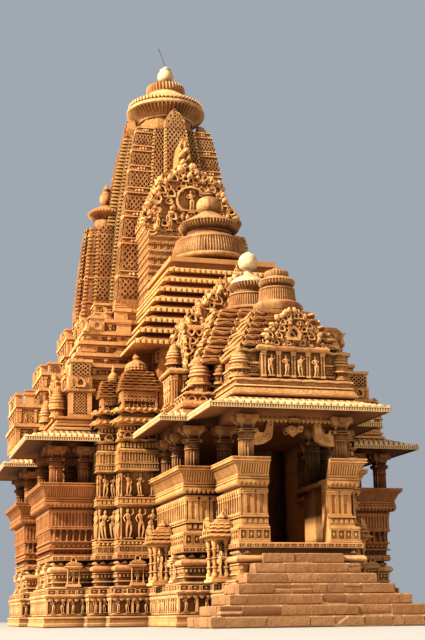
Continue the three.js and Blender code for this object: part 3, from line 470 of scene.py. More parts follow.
def horseshoe(w, h):
    right = [(0.4 * w, 0), (0.5 * w, 0.36 * h), (0.3 * w, 0.76 * h)]
    return right + [(0, h)] + mirrored(right)[3:]


def eyebrow(w, h, d):
    """A horseshoe dormer with a sunk middle"""
    return relief(horseshoe(w, h), [(1, 0), (1, -d), (0.6, -0.9 * d), (0.46, -0.2 * d)])


def cell(w, h, d):
    """One opening of the fretwork, flush with its neighbours"""
    hole = [(-0.26 * w, 0.12 * h), (0.26 * w, 0.12 * h), (0.2 * w, 0.62 * h), (-0.2 * w, 0.62 * h)]
    return rings([[(x * w, -d, z * h) for x, z in ((-0.5, 0), (0.5, 0), (0.5, 1), (-0.5, 1))],
                  [(x, -d, z) for x, z in hole],
                  [(0.8 * x, -0.1 * d, 0.8 * z + 0.08 * h) for x, z in hole]], caps=1)


def lump(w, h, d):
    """A plain rounded boss"""
    return relief([(0.4 * w, 0), (0.5 * w, 0.45 * h), (0, h), (-0.5 * w, 0.45 * h), (-0.4 * w, 0)],
                  [(1, 0), (0.9, -0.6 * d), (0.4, -d)])


def leaf(w, h, d):
    """A curled leaf, closed behind because it stands out past the wall"""
    return relief([(0, 0), (0.46 * w, 0.42 * h), (0.26 * w, 0.92 * h), (-0.26 * w, h), (-0.48 * w, 0.42 * h)],
                  [(1, 0), (1, -0.5 * d), (0.35, -d)], 2)


def petal(w, h, d):
    """A hanging leaf; its top is at z = 0"""
    return relief([(-0.48 * w, 0), (-0.4 * w, -0.6 * h), (0, -h), (0.4 * w, -0.6 * h), (0.48 * w, 0)],
                  [(1, 0.02), (1, -0.5 * d), (0.5, -d)])


def panel(w, h, d):
    """A framed square with a lozenge"""
    mid = h / 2
    lozenge = [(0, mid - 0.3 * h), (0.28 * w, mid), (0, mid + 0.3 * h), (-0.28 * w, mid)]
    return merge(relief([(-w / 2, 0), (w / 2, 0), (w / 2, h), (-w / 2, h)],
                        [(1, 0), (1, -d), (0.78, -d), (0.7, -0.3 * d)]),
                 relief(lozenge, [(1, -0.2 * d), (0.2, -1.1 * d)]))


def lattice(width, z0, z1, across, rise, y=0, x=0):
    """Spots with scales for rows of lozenges, each row half a step aside of the one below"""
    w, spots = width / across, []
    for i, z in enumerate(np.arange(z0 + rise, z1 - 0.6 * rise, rise)):
        n = across - i % 2
        spots += [[x + (k - (n - 1) / 2) * w, y, z, 0, w, 1, 2 * rise] for k in range(n)]
    return spots


def column(h, r):
    """A half-round colonnette with rings"""
    return post([(x * r, z * h) for x, z in ((1.35, 0), (1.35, 0.08), (0.85, 0.12), (0.8, 0.68), (1.15, 0.72),
                                             (0.82, 0.77), (1.4, 0.93), (1.4, 1))])


def baluster(h, r):
    return post([(r, 0), (0.7 * r, 0.15 * h), (r, 0.5 * h), (0.65 * r, 0.85 * h), (r, h)], 4)


def pilaster(w, h, d):
    """A flat pilaster with foot, capital and a groove"""
    across = [(-0.42, 0), (-0.42, -0.75), (-0.17, -0.75), (-0.12, -0.35), (0.12, -0.35), (0.17, -0.75), (0.42, -0.75),
              (0.42, 0)]
    shaft = rings([[(x * w, y * d, z * h) for x, y in across] for z in (0.06, 0.88)], wrap=False, caps=0)
    return merge(shaft, block(-w / 2, w / 2, -d, 0, 0, 0.09 * h), block(-w / 2, w / 2, -d, 0, 0.84 * h, 0.91 * h),
                 block(-0.56 * w, 0.56 * w, -1.2 * d, 0, 0.92 * h, h))


def figure(sway, *arms):
    """A generic standing figure in high relief, 1 high; an arm is its elbow and its hand"""
    depth, a = -0.075, np.arange(6) * 2 * math.pi / 6

    def ovals(rows, caps):
        return rings([np.stack([x + rx * np.cos(a), depth + ry * np.sin(a), np.full(6, z)], -1)
                      for x, z, rx, ry in rows], caps=caps)

    def limb(points, radii, n):
        return tube([(x, depth + y, z) for x, y, z in points], radii, n)

    neck = -0.35 * sway
    parts = [ovals([(sway, 0.44, 0.1, 0.07), (sway, 0.52, 0.12, 0.08), (0.6 * sway, 0.6, 0.068, 0.05),
                    (0.1 * sway, 0.7, 0.1, 0.07), (-0.2 * sway, 0.79, 0.115, 0.055),
                    (-0.25 * sway, 0.85, 0.032, 0.03)], 0),
             ovals([(neck, 0.845, 0.03, 0.03), (neck, 0.9, 0.058, 0.056), (neck, 0.95, 0.05, 0.05),
                    (neck, 1.02, 0.025, 0.025)], 1),
             limb([(sway - 0.055, 0, 0.47), (sway - 0.07, -0.03, 0.26), (-0.05, -0.01, 0)], (0.062, 0.045, 0.03), 5),
             limb([(sway + 0.055, 0, 0.47), (0.5 * sway + 0.07, -0.015, 0.26), (0.05, -0.01, 0)],
                  (0.062, 0.045, 0.03), 5)]
    for side, arm in zip((-1, 1), arms):
        parts.append(limb([(side * 0.11, 0, 0.78), *arm], (0.032, 0.026, 0.022), 4))
    return merge(parts, block(-0.15, 0.15, -0.16, 0, -0.045, 0))


LEFT_ARM, RIGHT_ARM = ((-0.15, -0.02, 0.64), (-0.13, -0.07, 0.52)), ((0.17, -0.02, 0.66), (0.12, -0.08, 0.74))
POSES = [figure(0.05, LEFT_ARM, RIGHT_ARM),
         figure(-0.05, LEFT_ARM, ((0.19, -0.01, 0.84), (0.13, -0.02, 0.97))),
         figure(0.06, ((-0.19, -0.01, 0.68), (-0.08, -0.07, 0.6)), RIGHT_ARM),
         figure(-0.04, ((-0.2, -0.01, 0.86), (-0.16, -0.02, 1)), ((0.16, -0.02, 0.66), (0.11, -0.06, 0.55)))]


def dealt(forms, spots, scales=lambda: ()):
    """Copies of the forms, dealt to the spots at random; scales gives each spot its own"""
    groups = [[] for _ in forms]
    for spot in spots:
        groups[int(RNG.integers(len(forms)))].append([*spot, *scales()])
    return [copies(form, rows) for form, rows in zip(forms, groups) if rows]


def crowd(spots, height):
    """Figures in changing poses at the spots"""
    return dealt(POSES, [[*s, height] for s in spots])


def pediment(w, d=0.12):
    """A stepped cluster of horseshoe dormers"""
    s = w / 3
    return merge(copies(eyebrow(1.1 * s, 1.05 * s, d), [[-s, 0, 0, 0], [0, 0, 0, 0], [s, 0, 0, 0]]),
                 placed(eyebrow(1.5 * s, 1.5 * s, 1.2 * d), z=0.66 * s), placed(lump(0.5 * s, 0.7 * s, d), z=2 * s))


LEAVES = [leaned(leaf(0.75, 1, 0.5), a) for a in np.radians((-75, -50, -25, 0, 25, 50, 75))]
CURLS = [leaned(relief(horseshoe(0.95, 0.9), [(1, 0), (1, -0.5), (0.55, -0.42), (0.4, -0.1)], 2), a)
         for a in np.radians((-100, -50, 50, 100))]
LOZENGE = np.array([(0, -0.49), (0.49, 0), (0, 0.49), (-0.49, 0)])
GEM = rings([[(x * s, y, z * s) for x, z in LOZENGE] for s, y in ((1, -0.07), (0.66, -0.07), (0.5, -0.05 * 0.07))],
            caps=1)


def fret(outline, y, size, solid=lambda x, z: False):
    """Fretwork over an upright outline of half widths and heights, with a jagged leafy rim; none where it is solid"""
    xs, zs = zip(*outline)
    groups = {}

    def put_in(kind, x, z, s):
        groups.setdefault(kind, []).append([x, y + RNG.uniform(-0.1, 0.25) * size, z, 0, s * size])
    z, odd = zs[0], 0
    while z < zs[-1] - 0.3 * size:
        w = float(np.interp(z + 0.3 * size, zs, xs)) - 0.25 * size
        n = max(1, int(2 * w / (0.8 * size)) + 1 - odd)
        for k in range(n):
            x = (k - (n - 1) / 2) * 2 * w / n + RNG.uniform(-0.12, 0.12) * size
            kind = RNG.choice(["arch", "knob", "person", "leaf"], p=[0.3, 0.27, 0.13, 0.3])
            if not solid(x, z + 0.4 * size):
                kind = int(RNG.integers(7)) if kind == "leaf" else kind
                put_in(kind, x, z + RNG.uniform(-0.1, 0.1) * size, RNG.uniform(0.75, 1.3))
        z += 0.6 * size
        odd = 1 - odd
    rim = [(-x, z) for x, z in outline] + outline[::-1]
    for (xa, za), (xb, zb) in zip(rim[:-1], rim[1:]):
        n = round(math.hypot(xb - xa, zb - za) / (0.55 * size))
        for k in range(n):
            t = (k + RNG.uniform(0.2, 0.8)) / n
            x, z = xa + (xb - xa) * t, za + (zb - za) * t
            lean = math.atan2(x, max(0.3, z - zs[0] - 0.2 * (zs[-1] - zs[0])))
            turn = int(round(np.clip(3 + math.degrees(lean) / 25 + RNG.uniform(-1, 1), 0, 6)))
            kind = RNG.choice(["leaf", "curl", "knob"], p=[0.45, 0.35, 0.2])
            kind = {"leaf": turn, "curl": f"curl{RNG.integers(4)}", "knob": "knob"}[kind]
            put_in(kind, x * 0.97, z - 0.4 * size, RNG.uniform(0.85, 1.45))
    forms = {"arch": eyebrow(1, 1, 0.5), "knob": lump(0.8, 0.9, 0.6), "person": POSES[int(RNG.integers(4))],
             **dict(enumerate(LEAVES)), **{f"curl{i}": c for i, c in enumerate(CURLS)}}
    return merge([copies(forms[k], rows) for k, rows in sorted(groups.items(), key=lambda kv: str(kv[0]))])


def shrine(w, h, d, pose=0):
    """A niche between two colonnettes under a stepped canopy, with a figure in it"""
    courses = [block(-x * w, x * w, -y * d, 0, low * h, high * h) for x, y, low, high in (
        (0.5, 1, 0, 0.06), (0.46, 0.9, 0.06, 0.1), (0.5, 1, 0.6, 0.65), (0.58, 1.15, 0.65, 0.69),
        (0.46, 0.85, 0.69, 0.74), (0.5, 0.95, 0.74, 0.77), (0.34, 0.65, 0.77, 0.82))]
    columns = copies(column(0.5 * h, 0.06 * w), [[x * w, -0.62 * d, 0.1 * h, 0] for x in (-0.38, 0.38)])
    return merge(courses[:2], columns, courses[2:],
                 placed(eyebrow(0.42 * w, 0.2 * h, 0.5 * d), z=0.8 * h, y=-0.2 * d),
                 placed(POSES[pose], y=-0.05 * d, z=0.12 * h, scale=0.44 * h))


def ringed_bud(x, y, radius, z0, z1, n=24):
    """A small turret: two ribbed drums with rims, a ringed dome and a tip"""
    rows = [(1.1, 0), (1.1, 0.05), (0.92, 0.07, 1), (0.92, 0.22, 1), (1.14, 0.25), (1.14, 0.30), (0.86, 0.32, 1),
            (0.86, 0.44, 1), (1.04, 0.47), (1.04, 0.51), (0.86, 0.53), (0.95, 0.57), (0.9, 0.62), (0.8, 0.635),
            (0.86, 0.66), (0.78, 0.71), (0.66, 0.725), (0.68, 0.75), (0.52, 0.80), (0.3, 0.84), (0.42, 0.87),
            (0.36, 0.91), (0.12, 0.95), (0.02, 1)]
    return turned([(radius * r, z0 + z * (z1 - z0), *share) for r, z, *share in rows], n, n // 2, 0.25, x, y)


# Stair: dressed blocks of changing size laid dry, and the pale bedding that shows in their joints

STEP_COUNT, RISER, TREAD, SIDE_TREAD = 7, 2.3 / 8, 0.357, 0.35
STAIR_END = 0.6
JOINT, OVERLAP = 0.009, 0.06
CLEAR_OF_STAIR = 2.02


def step_half(k):
    """Half the width of step k, counted from 1 at the ground"""
    return 1.2 + SIDE_TREAD * (STEP_COUNT - k)


def hewn(x0, x1, y0, y1, z0, z1):
    """A block with its corners moved a little, as hewn and trodden stone, but no lower"""
    v, *faces = slab(x0, x1, y0, y1, z0, z1, 0.03)
    moved = v + RNG.uniform(-0.012, 0.012, v.shape) * (1, 1, 0.5)
    moved[:, 2] = np.maximum(moved[:, 2], z0)
    return placed((moved, *faces))


blocks, bedding = [], []
for k in range(1, STEP_COUNT + 1):
    half, front = step_half(k), STAIR_END - TREAD * (STEP_COUNT + 1 - k)
    z0, z1 = RISER * (k - 1), RISER * k
    bedding.append(slab(-half + 0.03, half - 0.03, front + 0.03, STAIR_END, max(0, z0 - 0.02), z1 - 0.02))
    x = -half
    while x < half - 0.05:
        step = RNG.uniform(0.3, 1.2)
        end = half if half - (x + step) < 0.3 else x + step
        split = z0 + RISER * RNG.uniform(0.4, 0.6)
        beds = [z0, split, z1] if RNG.random() < 0.35 and end - x < 0.9 else [z0, z1]
        for low, high in zip(beds[:-1], beds[1:]):
            drop, back = RNG.uniform(0, 0.008), RNG.uniform(0, 0.022)
            blocks.append(hewn(x + JOINT, end - JOINT, front + back, front + TREAD + OVERLAP, low + 0.008,
                               high - drop))
        x = end
    y = front + TREAD + OVERLAP
    while y < STAIR_END - 0.02:
        end = min(STAIR_END, y + RNG.uniform(0.5, 1.1))
        end = STAIR_END if STAIR_END - end < 0.25 else end
        for side in (-1, 1):
            a, b = sorted((side * half, side * (half - SIDE_TREAD - OVERLAP)))
            blocks.append(hewn(a + 0.002, b - 0.002, y + JOINT, end - JOINT, z0 + 0.008, z1 - RNG.uniform(0, 0.008)))
        y = end
show("stair_blocks", STEPS, blocks, replaces=("entrance_stairs",))
show("stair_bedding", EDGES, bedding, replaces=("entrance_stairs",))


# Platform mouldings, all round

def base_row(spacing, z, out, **more):
    """Spots round the platform, without those that would stand inside the stair"""
    step = max(1, min(STEP_COUNT, math.floor(z / RISER) + 1))
    hidden = step_half(step) + 0.1
    return [s for s in row(BASE_RING, spacing, z, out, True, **more)
            if z > CLEAR_OF_STAIR or s[1] >= STAIR_END or abs(s[0]) >= hidden]


ROLL = [(0.11 + 0.135 * math.cos(a), 1.855 + 0.11 * math.sin(a)) for a in np.radians(np.linspace(-90, 90, 9))]
show("platform_mouldings", BASES,
     bands(BASE_RING, [(0.41, 0.02), (0.45, 0.04), (0.45, 0.12), (0.41, 0.15)],
           [(0.41, 0.27), (0.44, 0.29), (0.44, 0.335), (0.29, 0.36)],
           [(0.28, 0.37), (0.33, 0.38), (0.33, 0.43), (0.29, 0.45)], closed=True),
     strip(BASE_RING, [(0.29, 0.86), (0.35, 0.90), (0.42, 0.96), (0.43, 1.01), (0.40, 1.04), (0.34, 1.08)], True,
           0.012, 0.32),
     bands(BASE_RING, [(0.25, 1.22), (0.29, 1.235), (0.29, 1.275), (0.12, 1.31)],
           [(0.10, 1.42), (0.15, 1.43), (0.15, 1.47), (0.10, 1.48)],
           [(0.10, 1.69), (0.15, 1.70), (0.15, 1.735), (0.10, 1.75)], ROLL,
           [(0, 1.975), (0.07, 1.98), (0.07, 2), (0, 2.01)],
           [(0, 2.13), (0.16, 2.15), (0.175, 2.16), (0.175, 2.30), (0.155, 2.31)], closed=True))
show("platform_petals", BASES, copies(petal(0.2, 0.12, 0.06), base_row(0.21, 0.93, 0.34)),
     copies(panel(0.3, 0.16, 0.05), base_row(0.36, 1.045, 0.345)),
     copies(stud(0.03, 0.045, 0.09), base_row(0.12, 1.58, 0.11)),
     copies(lump(0.2, 0.12, 0.12), base_row(0.3, 1.99, 0.03)),
     copies(panel(0.19, 0.11, 0.03), base_row(0.22, 2.17, 0.172)))
show("platform_frieze", BASES, crowd(base_row(0.29, 0.47, 0.30), 0.44),
     copies(stud(0.035, 0.07, 0.44), base_row(0.96, 0.44, 0.30, ends=0)))
show("platform_niches", BASES,
     copies(shrine(0.5, 0.98, 0.2), base_row(1.75, 1.3, 0.11, where=lambda turn, length: length > 1)))


# Free-standing small shrines against the porch and the fore-hall

def ringed_post(x, y, z):
    """A free shaft on its base, with three rings"""
    shaft = [(0.095, 0), (0.095, 0.08), (0.06, 0.13), (0.055, 0.7), (0.08, 0.74), (0.057, 0.78), (0.098, 0.95),
             (0.098, 1.02)]
    ring = turned([(0.06, 0), (0.095, 0.015), (0.095, 0.035), (0.06, 0.05)], 10)
    return [placed(turned(shaft, 10), x, y, z), [placed(ring, x, y, height) for height in (0.4, 0.66, 0.92)]]


def free_shrine():
    parts = [slab(-0.42, 0.42, -0.55, 0.1, 0, 0.09), slab(-0.38, 0.38, -0.5, 0.1, 0.09, 0.17)]
    parts += [ringed_post(x, y, 0.17) for y in (-0.42, -0.06) for x in (-0.3, 0.3)]
    top = 1.19
    parts.append(slab(-0.42, 0.42, -0.55, 0.1, top, top + 0.07))
    for half, rise in ((0.52, 0.07), (0.44, 0.2), (0.36, 0.31), (0.27, 0.41)):
        front, z = -0.28 - 0.7 * half, top + rise
        parts += [strip([(-half, 0.1), (-half, front), (half, front), (half, 0.1)],
                        [(-0.1, z), (0, z), (0.03, z + 0.03), (0, z + 0.06), (-0.1, z + 0.09)], wave=0.02,
                        period=0.2),
                  slab(-half + 0.06, half - 0.06, front + 0.06, 0.1, z, z + 0.12)]
    tip = [(0.12, 0), (0.17, 0.03, 1), (0.17, 0.07, 1), (0.09, 0.11), (0.05, 0.15), (0.01, 0.22)]
    parts += [placed(pediment(0.62), z=top + 0.12, y=-0.5),
              slab(-0.15, 0.15, -0.3, 0.1, top + 0.48, top + 0.62, 0.03),
              placed(turned(tip, 32, 8, 0.15), 0, -0.1, top + 0.62), placed(POSES[0], y=-0.08, z=0.2, scale=0.86)]
    return merge(parts, [placed(POSES[1], x, -0.36, top + 0.13, 0, 0.3) for x in (-0.34, 0.34)])


FREE = free_shrine()
show("side_shrines", STONE, both(to_side(FREE, PORCH_AXIS, 1.85, 1.24), to_side(FREE, FOREHALL_AXIS, 2.85, 1.24)))


# Parapets, seats and their sloping backs

def is_flank(turn, length):
    return abs(math.cos(turn)) < 0.5


def is_front(turn, length):
    return not is_flank(turn, length)


SLOPE = math.atan2(0.22, 0.43)
SEAT_ROLLS = [(0.11, 4.015), (0.15, 4.025), (0.15, 4.06), (0.13, 4.075), (0.13, 4.10), (0.15, 4.11), (0.15, 4.145),
              (0.10, 4.155)]
HANGING_LEAF = tilted(petal(0.13, 0.15, 0.05), 0.6)


def seat_back(path):
    """Rails with leaning balusters on the flanks and flat ribs in front"""
    return merge(
        bands(path, [(0.29, 4.575), (0.345, 4.585), (0.345, 4.60), (0.33, 4.615), (0.335, 4.66), (0.35, 4.675),
                     (0.35, 4.70), (0.30, 4.71)],
              [(0.05, 4.15), (0.10, 4.155), (0.125, 4.19), (0.135, 4.235), (0.095, 4.245)],
              [(0.235, 4.525), (0.285, 4.535), (0.29, 4.57), (0.27, 4.58)]),
        lined(tilted(baluster(0.3, 0.034), SLOPE), path, 0.135, 4.235, 0.095, where=is_flank),
        lined(tilted(stud(0.022, 0.022, 0.36, 0.01), SLOPE), path, 0.075, 4.225, 0.09, where=is_front))


def parapet(path):
    """Front parapets: a kerb of panels, tall pilasters and a leaf band under the seat"""
    return merge(
        bands(path, [(0.11, 2.31), (0.15, 2.32), (0.15, 2.37), (0.11, 2.39)],
              [(0.09, 2.69), (0.13, 2.70), (0.13, 2.75), (0.10, 2.765), (0.02, 2.79)],
              [(0, 3.02), (0.04, 3.03), (0.04, 3.06), (-0.02, 3.08)],
              [(-0.05, 3.80), (0, 3.81), (0.01, 3.84), (-0.03, 3.87)], SEAT_ROLLS),
        lined(panel(0.21, 0.3, 0.045), path, 0.235, 2.385, 0.095),
        lined(column(0.72, 0.062), path, 0.24, 3.08, 0.01, where=is_flank),
        lined(pilaster(0.36, 0.72, 0.05), path, 0.4, 3.08, -0.05, where=is_front),
        lined(HANGING_LEAF, path, 0.14, 4.03, 0.135), lined(stud(0.05, 0.03, 0.12, 0.02), path, 0.17, 2.86, -0.01))


def balcony_parapet(path):
    """Balconies: carved bands, a row of small openings, flat pilasters and a leaf band"""
    return merge(
        bands(path, [(-0.23, 2.30), (-0.08, 2.31), (-0.08, 2.36), (-0.2, 2.38)],
              [(-0.18, 2.52), (-0.06, 2.53), (-0.06, 2.57), (-0.16, 2.59)],
              [(-0.13, 2.75), (-0.06, 2.765), (-0.06, 2.80), (-0.2, 2.82)],
              [(-0.12, 3.18), (-0.04, 3.19), (-0.04, 3.23), (-0.07, 3.25)],
              [(-0.10, 3.80), (-0.04, 3.81), (-0.03, 3.84), (-0.07, 3.87)], SEAT_ROLLS),
        lined(panel(0.2, 0.13, 0.05), path, 0.22, 2.385, -0.2), lined(lump(0.14, 0.14, 0.08), path, 0.17, 2.6, -0.17),
        lined(column(0.4, 0.05), path, 0.2, 2.80, -0.13), lined(pilaster(0.2, 0.55, 0.05), path, 0.235, 3.25, -0.085),
        lined(HANGING_LEAF, path, 0.14, 4.03, 0.135))


rear_seat, rear_parapet = (quarters(dress(SANCTUM_BALCONY), (1,)) for dress in (seat_back, balcony_parapet))
show("seat_back_carving", STONE, both(seat_back(FRONT)))
show("balcony_seat_back_carving", RED, both(seat_back(HALL_BALCONY), seat_back(SANCTUM_BALCONY)), rear_seat)
show("parapet_carving", STONE, both(parapet(FRONT)))
show("balcony_carving", RED, both(balcony_parapet(HALL_BALCONY), balcony_parapet(SANCTUM_BALCONY)), rear_parapet)


# Pillars: fluted round shafts with rings under stepped brackets that reach four ways

PILLARS = [(1.44, 0.9), (1.44, 3.25), (2.44, 3.3), (2.44, 5.05), (2.44, 6.54), (5.9, 8.47), (5.9, 11.63),
           (4.93, 8.47), (4.93, 11.63), (5.9, 15.82), (5.9, 18.98), (1.58, 23.3)]
spots = [(side * x, y, 0, 0) for x, y in PILLARS for side in (-1, 1)]
shaft = turned([
    (0.26, 4.15), (0.26, 4.20), (0.235, 4.22), (0.25, 4.26), (0.235, 4.29), (0.235, 4.31, 1), (0.23, 5.24, 1),
    (0.25, 5.26), (0.25, 5.29), (0.225, 5.31), (0.235, 5.38), (0.24, 5.44), (0.31, 5.47), (0.32, 5.495),
    (0.27, 5.51), (0.32, 5.53), (0.33, 5.56), (0.245, 5.58), (0.24, 5.64), (0.25, 5.70)], 32, 16, 0.16)
bracket = merge(slab(-0.12, 0.12, -0.40, 0, 5.87, 5.965), slab(-0.10, 0.10, -0.34, 0, 5.78, 5.88),
                slab(-0.09, 0.09, -0.27, 0, 5.69, 5.79), slab(-0.13, 0.13, -0.43, -0.36, 5.80, 5.96, 0.03))
brackets = merge([placed(bracket, turn=q * QUARTER) for q in range(4)])
show("pillar_shafts", SHAFTS, copies(shaft, [s for s in spots if s[1] < 7]))
show("balcony_pillar_shafts", RED, copies(shaft, [s for s in spots if s[1] > 7]))
show("pillar_brackets", EAVES, copies(brackets, spots))


# Eaves: ribs down the top, a fine fascia, rolls below

RIB_SECTION = np.array([(1, 0), (0.7, 0.8), (-0.7, 0.8), (-1, 0)])
RIB_SWELL = ((-0.03, 0.35), (0, 1), (0.12, 1.15), (0.24, 0.9), (0.3, 0.2), (0.98, 0.18))


def eave_dress(edge, top, spacing=0.2):
    """Dress from the edge of an eave to the line where its slope ends"""
    ribs, teeth = [], []
    points, ends = np.array(edge), np.array(top)
    for a, b, qa, qb in zip(points[:-1], points[1:], ends[:-1], ends[1:]):
        length = np.linalg.norm(b - a)
        d = (b - a) / length
        run = (qa - a) @ (-d[1], d[0])
        turn = math.atan2(d[1], d[0])
        count = max(1, round(length / spacing))
        for k in range(count):
            t = (k + 0.5) * length / count
            hips = [run * along / lean for along, lean in ((t, (qa - a) @ d), (length - t, (b - qb) @ d))
                    if lean > 0.01]
            reach = min([run, *hips])
            if reach < 0.12:
                continue
            section = []
            for s, swell in RIB_SWELL:
                x = RIB_SECTION[:, 0] * 0.44 * length / count * min(1, 0.6 + swell / 2)
                z = RIB_SECTION[:, 1] * 0.1 * swell + 6.18 + max(0, s) * 0.33 * reach / run
                section.append(np.stack([x, np.full(4, s * reach), z], -1))
            ribs.append(placed(rings(section[::-1], wrap=False, caps=1), *(a + d * t), 0, turn))
        fine = max(2, round(length / 0.08))
        teeth += [[*(a + d * (k + 0.5) * length / fine), 6.085, turn] for k in range(fine)]
    return [ribs, *bands(edge, [(-0.03, 6.06), (0.02, 6.065), (0.02, 6.08), (0.004, 6.085)],
                         [(0, 6.17), (0.028, 6.175), (0.028, 6.19), (-0.04, 6.215)]),
            copies(stud(0.02, 0.018, 0.085, 0.004), teeth)]


FRONT_EDGE = [(-2.73, 0), (2.73, 0), (2.73, 2.68), (3.58, 2.68), (3.58, 6.9)]
FRONT_TOP = [(-1.743, 0.677), (1.743, 0.677), (1.743, 3.122), (2.734, 3.122), (2.734, 6.9)]
HALL_EAVE = ([(4.55, 7.49), (7.06, 7.49), (7.06, 12.61), (4.55, 12.61)],
             [(4.55, 8.242), (6.139, 8.242), (6.139, 11.858), (4.55, 11.858)])
SANCTUM_EAVE = ([(5.1, 14.84), (7.06, 14.84), (7.06, 19.96), (5.1, 19.96)],
                [(5.1, 15.592), (6.139, 15.592), (6.139, 19.208), (5.1, 19.208)])
front_eave = eave_dress(FRONT_EDGE[1:], FRONT_TOP[1:])
middle_eave = eave_dress(FRONT_EDGE[:2], FRONT_TOP[:2])
show("eave_carving", EDGES, both(front_eave, eave_dress(*HALL_EAVE), eave_dress(*SANCTUM_EAVE)), middle_eave,
     quarters(merge(eave_dress(*SANCTUM_EAVE)), (1,)))


# Sculptured walls

def wall_dress(path):
    return [
        *bands(path, [(0.09, 2.31), (0.14, 2.32), (0.14, 2.37), (0.09, 2.39)],
               [(0.09, 2.54), (0.13, 2.55), (0.13, 2.59), (0.09, 2.61)],
               [(0.09, 2.70), (0.13, 2.705), (0.13, 2.755), (-0.01, 2.775)],
               [(-0.02, 3.80), (0.02, 3.82), (0.06, 3.86), (0.10, 3.90)],
               [(0.07, 3.90), (0.12, 3.91), (0.12, 3.95), (0.08, 3.97)],
               [(0.07, 4.09), (0.13, 4.10), (0.13, 4.145), (-0.01, 4.165)],
               [(-0.02, 4.95), (0.04, 4.98), (0.10, 5.02), (0.14, 5.03), (0.14, 5.08), (0.10, 5.10)],
               [(0.08, 5.24), (0.13, 5.25), (0.13, 5.28), (0.09, 5.30)],
               [(0.06, 5.66), (0.12, 5.68), (0.12, 5.72), (0.07, 5.755), (0, 5.77)]),
        strip(path, [(0, 5.96), (0.06, 5.98), (0.10, 6.02), (0.12, 6.06), (0, 6.10)], wave=0.03, period=0.4),
        strip(path, [(0, 6.30), (0.05, 6.32), (0.05, 6.36), (0, 6.38)]),
        strip(path, [(0, 6.44), (0.10, 6.50), (0.17, 6.54)], wave=0.03, period=0.42),
        strip(path, [(0.15, 6.54), (0.24, 6.56), (0.26, 6.60), (0.22, 6.64), (0.12, 6.70)], wave=0.06, period=0.42),
        strip(path, [(0.10, 6.76), (0.14, 6.78), (0.14, 6.81), (0.06, 6.83)]),
        strip(path, [(0.06, 6.90), (0.20, 6.93), (0.22, 6.97), (0.18, 7.01), (0.02, 7.08)], wave=0.06, period=0.42),
        *(lined(form, path, *place) for form, *place in (
            (lump(0.15, 0.12, 0.12), 0.21, 6.64, 0.16), (lump(0.15, 0.12, 0.12), 0.21, 7.02, 0.12),
            (stud(0.03, 0.03, 0.09), 0.12, 6.39, 0.01), (panel(0.16, 0.15, 0.04), 0.19, 2.39, 0.09),
            (lump(0.12, 0.09, 0.06), 0.14, 2.61, 0.09), (stud(0.05, 0.04, 0.12), 0.15, 3.965, 0.075),
            (baluster(0.13, 0.035), 0.09, 5.105, 0.10), (pilaster(0.15, 0.36, 0.05), 0.18, 5.30, 0.075),
            (eyebrow(0.34, 0.24, 0.08), 0.42, 6.1, 0), (stud(0.04, 0.05, 0.16), 0.12, 5.79, 0)))]


def wall_figures(path):
    """Two rows of figures between colonnettes"""
    return [crowd(row(path, 0.36, 2.84, -0.02), 0.93), crowd(row(path, 0.36, 4.22, -0.02), 0.72),
            lined(column(1.02, 0.04), path, 0.36, 2.78, -0.02, ends=0),
            lined(column(0.78, 0.036), path, 0.36, 4.17, -0.02, ends=0)]


show("wall_carving", STONE, both([wall_dress(p) for p in WALLS]))
show("wall_figures", FIGURES, both([wall_figures(p) for p in WALLS]))


# Wavy courses of the porch, fore-hall and turret roofs

def wavy(path, out, z, thick, closed=True, wave=0.03, period=0.3, lip=0.12, phase=0):
    return strip(path, [(out - lip, z - 0.2 * thick), (out + 0.01, z + 0.1 * thick), (out + 0.03, z + 0.65 * thick),
                        (out - lip, z + 1.1 * thick)], closed, wave, period, 0.03, phase)


def cross(half_x, half_y, axis, arm, project):
    """A ring round a body that stands forward in the middle of each side"""
    x, y = half_x + project, half_y + project
    corners = [(arm, -y), (arm, -half_y), (half_x, -half_y), (half_x, -arm), (x, -arm)]
    return mirrored([(a, axis + b) for a, b in corners + [(a, -b) for a, b in reversed(corners)]])


def tier_courses(plan, z0, z1, shrink, start, count=6):
    """Thick slabs with slow waves, each over a thinner one"""
    rise = (z1 - z0) / count
    parts = []
    for k in range(count):
        out, z = start - shrink * k / count, z0 + k * rise
        parts += [wavy(plan, out, z, 0.42 * rise, wave=0.07, period=0.62, phase=0.5 * (k % 2), lip=0.2),
                  strip(plan, [(out - 0.25, z + 0.62 * rise), (out - 0.06, z + 0.64 * rise),
                               (out - 0.05, z + 0.84 * rise), (out - 0.25, z + 0.9 * rise)], True)]
    return parts


